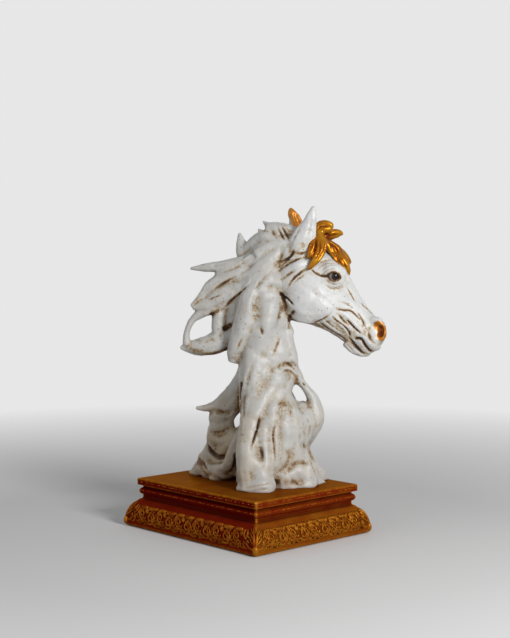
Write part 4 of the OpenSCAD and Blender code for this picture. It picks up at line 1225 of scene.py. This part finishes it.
for row in ([(72, 163), (88, 156), (103, 149)], [(92, 168), (102, 160), (110, 152)],
            [(104, 147), (112, 139), (121, 133)], [(118, 160), (124, 150), (129, 141)]):
    stain(bust, row, 5.5, 0.62, BOTH)
stain(bust, [(60, 162.5), (78, 156.5), (98, 146.5)], 2.0, 0.9, BOTH)
build(bust, [(113, 153), (120, 149), (127, 142), (133, 139)], 3.0, 1.8, BOTH, soft=2.0)
build(bust, [(101, 143), (108, 136), (116, 132)], 3.2, 1.6, BOTH, soft=2.0)
carve(bust, [(110, 148), (117, 148.5), (121, 142), (126, 136), (131, 133.5)], 1.5, 3.2, 1.4, BOTH, 0.15)
carve(bust, [(105, 150), (109, 145), (114, 139), (122, 131)], 1.0, 2.0, 1.3, BOTH, 0.2)
carve(bust, [(101, 146), (107, 138), (113, 132)], 1.0, 1.4, 0.9, BOTH)
carve(bust, [(109, 143), (115, 136.5), (119, 133)], 0.9, 1.0, 0.6, BOTH)
carve(bust, [(126, 160), (125, 154), (127, 148), (131, 144)], 1.6, 1.6, 0.7, BOTH)
carve(bust, [(136, 161), (137.5, 156), (136.5, 151)], 2.8, 4.0, 0.6, BOTH, 0.2)
stain(bust, [(135, 162), (138, 156), (137, 150)], 4.8, 1.7, BOTH, "gild")
stain(bust, [(139, 160), (141, 155), (139, 151)], 3.5, 1.5, BOTH, "gild")
stain(bust, [(137, 159), (137.5, 154)], 2.4, 1.0, BOTH)
stain(bust, [(103, 146), (108, 138), (115, 132)], 3.5, 0.45, BOTH)
stain(bust, [(129, 150), (131, 143), (128, 136)], 3.0, 0.4, BOTH)
build(bust, [(32, 211), (41, 217), (53, 222.5), (65, 226)], 5.0, 2.6)
carve(bust, [(32, 214), (42, 223), (54, 229), (63, 231)], 1.3, 1.8, 0.5)
carve(bust, [(42, 198), (48, 208), (56, 215), (65, 221)], 1.2, 1.6, 0.7)
carve(bust, [(47, 202), (54, 209), (62, 215)], 1.0, 1.0, 0.5)
carve(bust, [(37, 207), (45, 214), (55, 220)], 1.2, 1.0, 0.4)
carve(bust, [(33, 226), (41, 228), (47, 233), (50, 241)], 1.4, 2.2, 0.4)
carve(bust, [(36, 221), (42, 226), (50, 229)], 1.0, 1.2, 0.4)
carve(bust, [(48, 237), (55, 234), (63, 237)], 1.4, 1.0, 0.15)
carve(bust, [(56, 262), (52, 254), (47, 246)], 1.2, 1.0, 0.6)
for row, width, amount in (
        ([(34, 224), (40, 228), (47, 234)], 6.0, 0.85), ([(49, 234), (55, 237), (58, 243)], 4.5, 0.7),
        ([(57, 235), (65, 237)], 4.0, 0.55), ([(44, 166), (44, 159)], 3.5, 0.9),
        ([(48, 209), (58, 217)], 3.5, 0.5), ([(40, 214), (52, 221)], 2.5, 0.4),
        ([(52, 243), (60, 244), (66, 249)], 3.5, 0.5), ([(75, 205), (84, 207)], 4.0, 0.2),
        ([(46, 178), (44, 172)], 3.5, 0.6), ([(54, 243), (56, 252)], 3.0, 0.4)):
    stain(bust, row, width, amount)
carve(bust, [(66, 272), (65, 260), (61, 248)], 1.4, 0.9, 0.25)
for rows in ([(66, -11, 245), (68, -12, 256), (69, -14, 266)],
             [(60, 9, 243), (57, 10, 256), (53, 13, 267), (49, 16, 277)]):
    smear(bust, curve_through(rows, 8), 6.5, 1.5, "gild")


# The worked clay is parted into the three castings. Each skin is lifted as a mesh, gets glossy white
# paint with a brown wash in the hollows and painted shade on surfaces that face down, and takes its place.
def parted(name, clay):
    """A casting's share of the clay; its skin dips a little where a neighbour's lies over it."""
    lap = 1.5
    limit = np.full_like(clay, -REACH)
    dip = np.zeros_like(clay)
    for other in castings:
        if other == name:
            continue
        over = castings.index(other) < castings.index(name)
        share = (solids[name] - solids[other]) / 2
        limit = np.maximum(limit, share - (lap if over else 0.0))
        if over:
            dip = np.maximum(dip, 0.35 * np.clip(share + 0.2, 0.0, 2.0))
    return np.maximum(clay + dip, limit)


def floor_cut(field):
    """The field cut off level with the plinth's top, and sunk a hair into it."""
    sink = 0.2
    up = LOW[2] + VOXEL * np.arange(CELLS[2], dtype=np.float32)
    return np.maximum(field, (-sink - up)[None, None, :])


def lifted(field):
    """Points and outward four-sided faces of a field's skin, without loose crumbs."""
    crumb = 400
    grid = openvdb.FloatGrid(REACH)
    grid.copyFromArray(np.ascontiguousarray(field, np.float32))
    points, quads = grid.convertToQuads(0.0)
    group = np.arange(len(points))
    while True:
        lowest = group[quads].min(axis=1)
        merged = group.copy()
        np.minimum.at(merged, quads.ravel(), np.repeat(lowest, 4))
        merged = merged[merged]
        if np.array_equal(merged, group):
            break
        group = merged
    names, sizes = np.unique(group, return_counts=True)
    kept = np.isin(group, names[sizes > crumb])
    index = np.cumsum(kept) - 1
    quads = index[quads[kept[quads[:, 0]]]]
    points = points[kept] * VOXEL + LOW
    a, b, c, d = (points[quads[:, i]] for i in range(4))
    volume = np.einsum("ij,ij->i", np.cross(c - a, d - b), (a + b + c + d)).sum()
    if volume < 0:
        quads = quads[:, ::-1]
    return points, quads


def rubbed_down(points, quads, passes=2, share=0.4):
    """Points eased towards the middle of their neighbours."""
    ends = np.concatenate([quads[:, [i, (i + 1) % 4]] for i in range(4)])
    count = np.bincount(ends[:, 0], minlength=len(points))[:, None]
    for _ in range(passes):
        sums = [np.bincount(ends[:, 0], points[ends[:, 1], i], len(points)) for i in range(3)]
        middle = np.stack(sums, axis=1) / np.maximum(count, 1)
        points = points + share * (middle - points)
    return points


def thinned(piece, most):
    """Takes triangles from the flattest parts of a piece that has too many of them."""
    count = sum(len(face.vertices) - 2 for face in piece.data.polygons)
    if count > most:
        modifier = piece.modifiers.new("thinning", "DECIMATE")
        modifier.ratio = most / count
        shape = piece.evaluated_get(bpy.context.evaluated_depsgraph_get())
        mesh = bpy.data.meshes.new_from_object(shape)
        piece.modifiers.remove(modifier)
        piece.data = mesh


def settle_wash(model):
    """Brown wash gathers in the creases and hollows, and stays where it was dabbed on. Surfaces that face
    down are darkened too: painted shade.
    """
    clay = model["clay"]
    crease = clay - blurred(clay, 1.5)
    hollow = clay - blurred(clay, 5.0)
    # Painted shade: surfaces that face down get the brown too.
    under = np.clip(-np.gradient(clay, VOXEL, axis=2) - 0.35, 0.0, 0.6)
    settled = 0.95 * crease + 0.12 * hollow + 0.55 * under + 0.6 * model["wash"] - 0.05
    model["wash"] = np.clip(settled, 0.0, 1.0)


def film(points):
    """How much the white is greyed, by place: little on the face, more elsewhere, most low down behind."""
    face_back, face_under = 34, 138
    low_top, low_front = 110, 30
    forward, _, up = points.T
    face = np.clip((forward - face_back) / 26, 0, 1) * np.clip((up - face_under) / 22, 0, 1)
    low = np.clip((low_top - up) / 60, 0, 1) * np.clip((low_front - forward) / 50, 0.25, 1)
    return 0.6 * (1 - face * face * (3 - 2 * face)) + 0.4 * low


def antique_white():
    """Glossy white paint with a brown wash in the hollows and painted shade on surfaces that face down,
    and gold where it was picked out.
    """
    material, tree, shader = finish_of("antique_white")
    cloud = noise(tree, 45.0, 5.0, 0.6)
    grit = noise(tree, 480.0, 6.0, 0.7)
    smoke = noise(tree, 22.0, 3.0, 0.5)
    lines = maths(tree, "ABSOLUTE", maths(tree, "SUBTRACT", noise(tree, 95.0, 7.0, 0.62), 0.5))
    fine_lines = spread(tree, lines, 0.0, 0.012, 0.30, 0.0)
    hairline = maths(tree, "MULTIPLY", fine_lines, spread(tree, smoke, 0.45, 0.65))
    patchy = spread(tree, noise(tree, 70.0, 5.0), 0.35, 0.65, 0.8, 1.05)
    # The white is greyed by place: darkest low down at the back, least on the face.
    greying = maths(tree, "MULTIPLY", attribute(tree, "film"), patchy)
    graded_white = ramp(tree, greying, (0.0, 0.60, 0.605, 0.60), (0.6, 0.46, 0.450, 0.430),
                 (1.0, 0.42, 0.350, 0.250))
    shade = ramp(tree, cloud, (0.3, 0.86, 0.87, 0.87), (0.5, 1.0, 1.0, 1.0), (0.7, 1.0, 0.99, 0.97))
    white = blend(tree, 1.0, graded_white, shade, "MULTIPLY")
    freckled = spread(tree, grit, 0.36, 0.66, 0.15, 1.55)
    broken = maths(tree, "MULTIPLY", freckled, maths(tree, "MULTIPLY_ADD", smoke, 0.7, 0.65))
    settled = attribute(tree, "wash")
    thick = maths(tree, "MULTIPLY_ADD", settled, 1.6, -0.5)
    wash = maths(tree, "MAXIMUM", maths(tree, "MULTIPLY", settled, broken), thick)
    wash = maths(tree, "MAXIMUM", wash, hairline)
    washed = ramp(tree, wash, (0.0, 1.0, 1.0, 1.0), (0.12, 0.88, 0.82, 0.72), (0.34, 0.55, 0.38, 0.205),
                  (0.60, 0.25, 0.122, 0.044), (0.85, 0.092, 0.037, 0.013), (1.0, 0.050, 0.020, 0.008))
    painted = blend(tree, 1.0, white, washed, "MULTIPLY")
    cells = tree.nodes.new("ShaderNodeTexVoronoi")
    cells.inputs["Scale"].default_value = 210.0
    tree.links.new(coordinates(tree), cells.inputs["Vector"])
    dots = spread(tree, cells.outputs["Distance"], 0.10, 0.20, 1.0, 0.0)
    chosen = spread(tree, noise(tree, 75.0, 3.0), 0.51, 0.60)
    specks = maths(tree, "MULTIPLY", maths(tree, "MULTIPLY", dots, chosen), 0.8)
    speckled = blend(tree, specks, painted, (0.13, 0.085, 0.05))
    gild = spread(tree, maths(tree, "MULTIPLY_ADD", grit, 0.25, attribute(tree, "gild")), 0.45, 0.75)
    gold = ramp(tree, wash, (0.0, 0.41, 0.150, 0.012), (0.45, 0.28, 0.076, 0.007),
                (1.0, 0.11, 0.019, 0.005))
    coat(tree, shader, {
        "Base Color": blend(tree, gild, speckled, gold),
        "Metallic": maths(tree, "MULTIPLY", gild, 0.45),
        "Roughness": spread(tree, wash, 0.0, 0.6, 0.38, 0.66),
        "Specular IOR Level": 0.4})
    uneven = maths(tree, "MULTIPLY_ADD", noise(tree, 120.0, 3.0), 1.6, noise(tree, 700.0, 2.0))
    bumps(tree, shader, uneven, 0.3, 0.0008)
    return material


settle_wash(bust)
white_paint = antique_white()
most_triangles = 190000
for name in castings:
    points, quads = lifted(floor_cut(parted(name, bust["clay"])))
    points = rubbed_down(points, quads)
    values = {layer: sampled(bust[layer], points) for layer in ("wash", "gild")}
    values["film"] = film(points)
    casting = piece_of(name.replace("_casting", ""), from_bust(points), quads, white_paint, values)
    thinned(casting, most_triangles)
    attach(casting, "root")
    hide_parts(name)


# Forelock: a separate little casting of curling locks, painted gold with a brown wash, bonded between
# the ears. Each lock gets strands along its length.
def gold_paint():
    """Gold paint, uneven in tone, with a brown wash between the strands and painted shade on surfaces
    that face down.
    """
    material, tree, shader = finish_of("gold_paint")
    grit = noise(tree, 240.0, 5.0, 0.65)
    cloud = noise(tree, 60.0, 4.0)
    broken = maths(tree, "MULTIPLY_ADD", grit, 0.8, maths(tree, "MULTIPLY_ADD", cloud, 0.8, 0.1))
    wash = maths(tree, "MULTIPLY", attribute(tree, "wash"), broken)
    plain = ramp(tree, cloud, (0.3, 0.24, 0.072, 0.003), (0.5, 0.37, 0.143, 0.006),
                 (0.7, 0.51, 0.25, 0.015))
    dark = ramp(tree, wash, (0.0, 1.0, 1.0, 1.0), (0.25, 0.60, 0.36, 0.25), (0.6, 0.20, 0.09, 0.06),
                (1.0, 0.05, 0.03, 0.03))
    coat(tree, shader, {
        "Base Color": blend(tree, 1.0, plain, dark, "MULTIPLY"),
        "Metallic": 0.7,
        "Specular IOR Level": 0.2,
        "Roughness": spread(tree, grit, 0.3, 0.7, 0.24, 0.42)})
    bumps(tree, shader, grit, 0.2, 0.0006)
    return material


lock_field = level_set("forelock_casting")
forelock = {"clay": softened(lock_field, fine=0.9, broad=1.4)}
forelock["wash"] = np.zeros_like(lock_field)
for rows in ([(72, -8, 259, 3.4), (75, -9, 264, 3.2), (81, -9, 265, 3.2), (86, -9, 263, 3.2),
              (86, -9, 259.5, 2.6)],
             [(72, -11, 253, 4.2), (78, -12, 257.5, 4), (84, -12, 259.5, 3), (87, -11, 258, 1.8)],
             [(72, 2, 257, 4.5), (78, 4, 261, 4), (85, 4, 260, 3)],
             [(78, -3, 251, 4.5), (84, -2, 254, 4.4), (90, 0, 255.5, 4), (95, 2, 255.5, 3.2),
              (98, 3, 254.5, 1.8)],
             [(80, -2, 248, 3.5), (88, 0, 251.5, 3), (94, 2, 252, 1.6)],
             [(74, -13, 253, 5), (78, -20, 245, 5), (76, -25, 236, 4.6), (71, -28, 227.5, 3.6),
              (64, -29, 219, 1.2)],
             [(71, -16, 250, 4), (68, -22, 243, 4), (66, -25, 236, 3.4), (63.5, -27, 230, 1.5)],
             [(82, -5, 246, 4), (88, -4, 242, 4.5), (93, -3, 237.5, 5.2), (96, -2, 231, 4.2)],
             [(94, -2, 232, 3.6), (98, -1, 227, 4.4), (101, 0, 222, 5), (104, 1, 216, 3),
              (105, 1, 212.5, 1.2)],
             [(80, -8, 247, 3.5), (86, -8, 238, 3.2), (91, -7, 229, 2.4), (95, -6, 222, 1.2)],
             [(74, 12, 252, 5), (78, 20, 244, 4.4), (81, 25, 235, 3.4), (83, 27, 226, 1.2)]):
    add(forelock, rows, 1.4)
for rows in ([(73, 258), (76, 262), (82, 262), (84, 260)], [(80, 251), (87, 253), (95, 254)],
             [(80, 249), (80, 240), (74, 229), (68, 223)], [(75, 248), (75, 238), (69, 226)],
             [(84, 246), (91, 240), (95, 233)], [(96, 231), (100, 225), (103, 217)],
             [(71, 250), (71, 242), (68, 233)], [(86, 244), (88, 236), (94, 226)], [(68, 246), (66, 238)]):
    carve(forelock, rows, 0.9, 1.4, 0.9, BOTH, 0.3, 0.8)
settle_wash(forelock)
points, quads = lifted(forelock["clay"])
points = rubbed_down(points, quads)
values = {"wash": sampled(forelock["wash"], points)}
locks = piece_of("forelock", from_bust(points), quads, gold_paint(), values)
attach(locks, "root")
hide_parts("forelock_casting")


# Eyes: glossy balls, black with a dark brown ring and a paler rim, pressed into the head from outside
# and held by the lids. They keep their CAD shape.
def eye_gloss(name, node_name, side):
    """Rings of colour round the point where the eye looks out."""
    material, tree, shader = finish_of(name)
    low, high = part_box(node_name)
    middle = (np.asarray(low) + np.asarray(high)) / 2
    ball_r = (high[2] - low[2]) / 2
    gaze = from_bust([(0.25, side * 0.97, 0.0)])[0] - from_bust([(0.0, 0.0, 0.0)])[0]
    place = tree.nodes.new("ShaderNodeVectorMath")
    place.operation = "DISTANCE"
    tree.links.new(coordinates(tree), place.inputs[0])
    place.inputs[1].default_value = tuple(middle + gaze * ball_r)
    rim_r = 0.0065
    ring = spread(tree, place.outputs["Value"], 0.0, rim_r)
    fleck = maths(tree, "MULTIPLY_ADD", noise(tree, 900.0, 3.0), 0.12, maths(tree, "SUBTRACT", ring, 0.06))
    colour = ramp(tree, fleck, (0.0, 0.004, 0.004, 0.004), (0.36, 0.006, 0.005, 0.004),
                  (0.44, 0.040, 0.027, 0.018), (0.58, 0.014, 0.009, 0.006),
                  (0.68, 0.16, 0.12, 0.09), (0.9, 0.42, 0.39, 0.35))
    coat(tree, shader, {"Base Color": colour, "Roughness": 0.12, "Specular IOR Level": 0.25})
    return material


dress("near_eye", eye_gloss("near_eye_gloss", "near_eye", -1))
dress("far_eye", eye_gloss("far_eye_gloss", "far_eye", 1))


# Floor and light: a plain pale floor that fades into a pale surround, a soft lamp from the right, and a
# weaker one from the left.
surround_grey = 0.80


def rays_that_show(tree):
    """1 for rays that show the surround: straight from the camera, mirrored or through glass."""
    rays = tree.nodes.new("ShaderNodeLightPath").outputs
    straight = maths(tree, "MAXIMUM", rays["Is Camera Ray"], rays["Is Transmission Ray"])
    return maths(tree, "MAXIMUM", straight, rays["Is Glossy Ray"])


def pale_floor():
    """A pale floor that takes the object's shadow, and becomes the surround further off."""
    material, tree, shader = finish_of("pale_floor")
    coat(tree, shader, {
        "Base Color": (0.72, 0.72, 0.72, 1.0),
        "Roughness": 0.8,
        "Specular IOR Level": 0.2})
    distance = tree.nodes.new("ShaderNodeVectorMath")
    distance.operation = "LENGTH"
    tree.links.new(coordinates(tree), distance.inputs[0])
    glow = tree.nodes.new("ShaderNodeEmission")
    glow.inputs["Color"].default_value = (surround_grey, surround_grey, surround_grey, 1.0)
    mix = tree.nodes.new("ShaderNodeMixShader")
    far_off = spread(tree, distance.outputs["Value"], 0.3, 1.1)
    tree.links.new(maths(tree, "MULTIPLY", far_off, rays_that_show(tree)), mix.inputs[0])
    tree.links.new(shader.outputs["BSDF"], mix.inputs[1])
    tree.links.new(glow.outputs["Emission"], mix.inputs[2])
    tree.links.new(mix.outputs["Shader"], tree.nodes["Material Output"].inputs["Surface"])
    return material


floor_half = 6000.0
floor_corners = [(x * floor_half, y * floor_half, 0) for x, y in ((-1, -1), (1, -1), (1, 1), (-1, 1))]
floor = piece_of("floor", floor_corners, [(0, 1, 2, 3)], pale_floor())


def lamp(name, place, aim, power, width):
    """A square soft lamp that shines on a point."""
    light = bpy.data.lights.new(name, "AREA")
    light.energy = power
    light.size = width
    holder = bpy.data.objects.new(name, light)
    bpy.context.scene.collection.objects.link(holder)
    holder.location = place
    toward = np.asarray(aim) - np.asarray(place)
    flat = math.hypot(toward[0], toward[1])
    holder.rotation_euler = (math.atan2(flat, -toward[2]), 0.0, math.atan2(-toward[0], toward[1]))


bust_middle = (0, 0, 0.17)
lamp("key_lamp", (1.35, -0.15, 0.66), bust_middle, power=16.0, width=0.4)
lamp("fill_lamp", (-0.3, -1.5, 0.7), bust_middle, power=3.0, width=1.0)
surround = bpy.data.worlds.new("surround")
bpy.context.scene.world = surround
surround.use_nodes = True
sky = surround.node_tree
backdrop = sky.nodes["Background"]
backdrop.inputs["Color"].default_value = (1.0, 1.0, 1.0, 1.0)
ambient = 0.28
strength = maths(sky, "MULTIPLY_ADD", rays_that_show(sky), surround_grey - ambient, ambient)
sky.links.new(strength, backdrop.inputs["Strength"])

# Camera: at the photograph's place, a little above the middle of the book end, turned across the
# plinth's corner and tipped slightly down.
camera_turn = math.radians(47.0)
camera_dip = math.radians(3.0)
camera_back, camera_side, camera_up = 1.331, 0.0093, 0.287
lens = bpy.data.cameras.new("camera")
lens.lens = 73.35
camera = bpy.data.objects.new("camera", lens)
bpy.context.scene.collection.objects.link(camera)
camera.location = (camera_back * math.sin(camera_turn) + camera_side * math.cos(camera_turn),
                   -camera_back * math.cos(camera_turn) + camera_side * math.sin(camera_turn), camera_up)
camera.rotation_euler = (math.pi / 2 - camera_dip, 0.0, camera_turn)
bpy.context.scene.camera = camera
bpy.context.scene.view_settings.view_transform = "Standard"
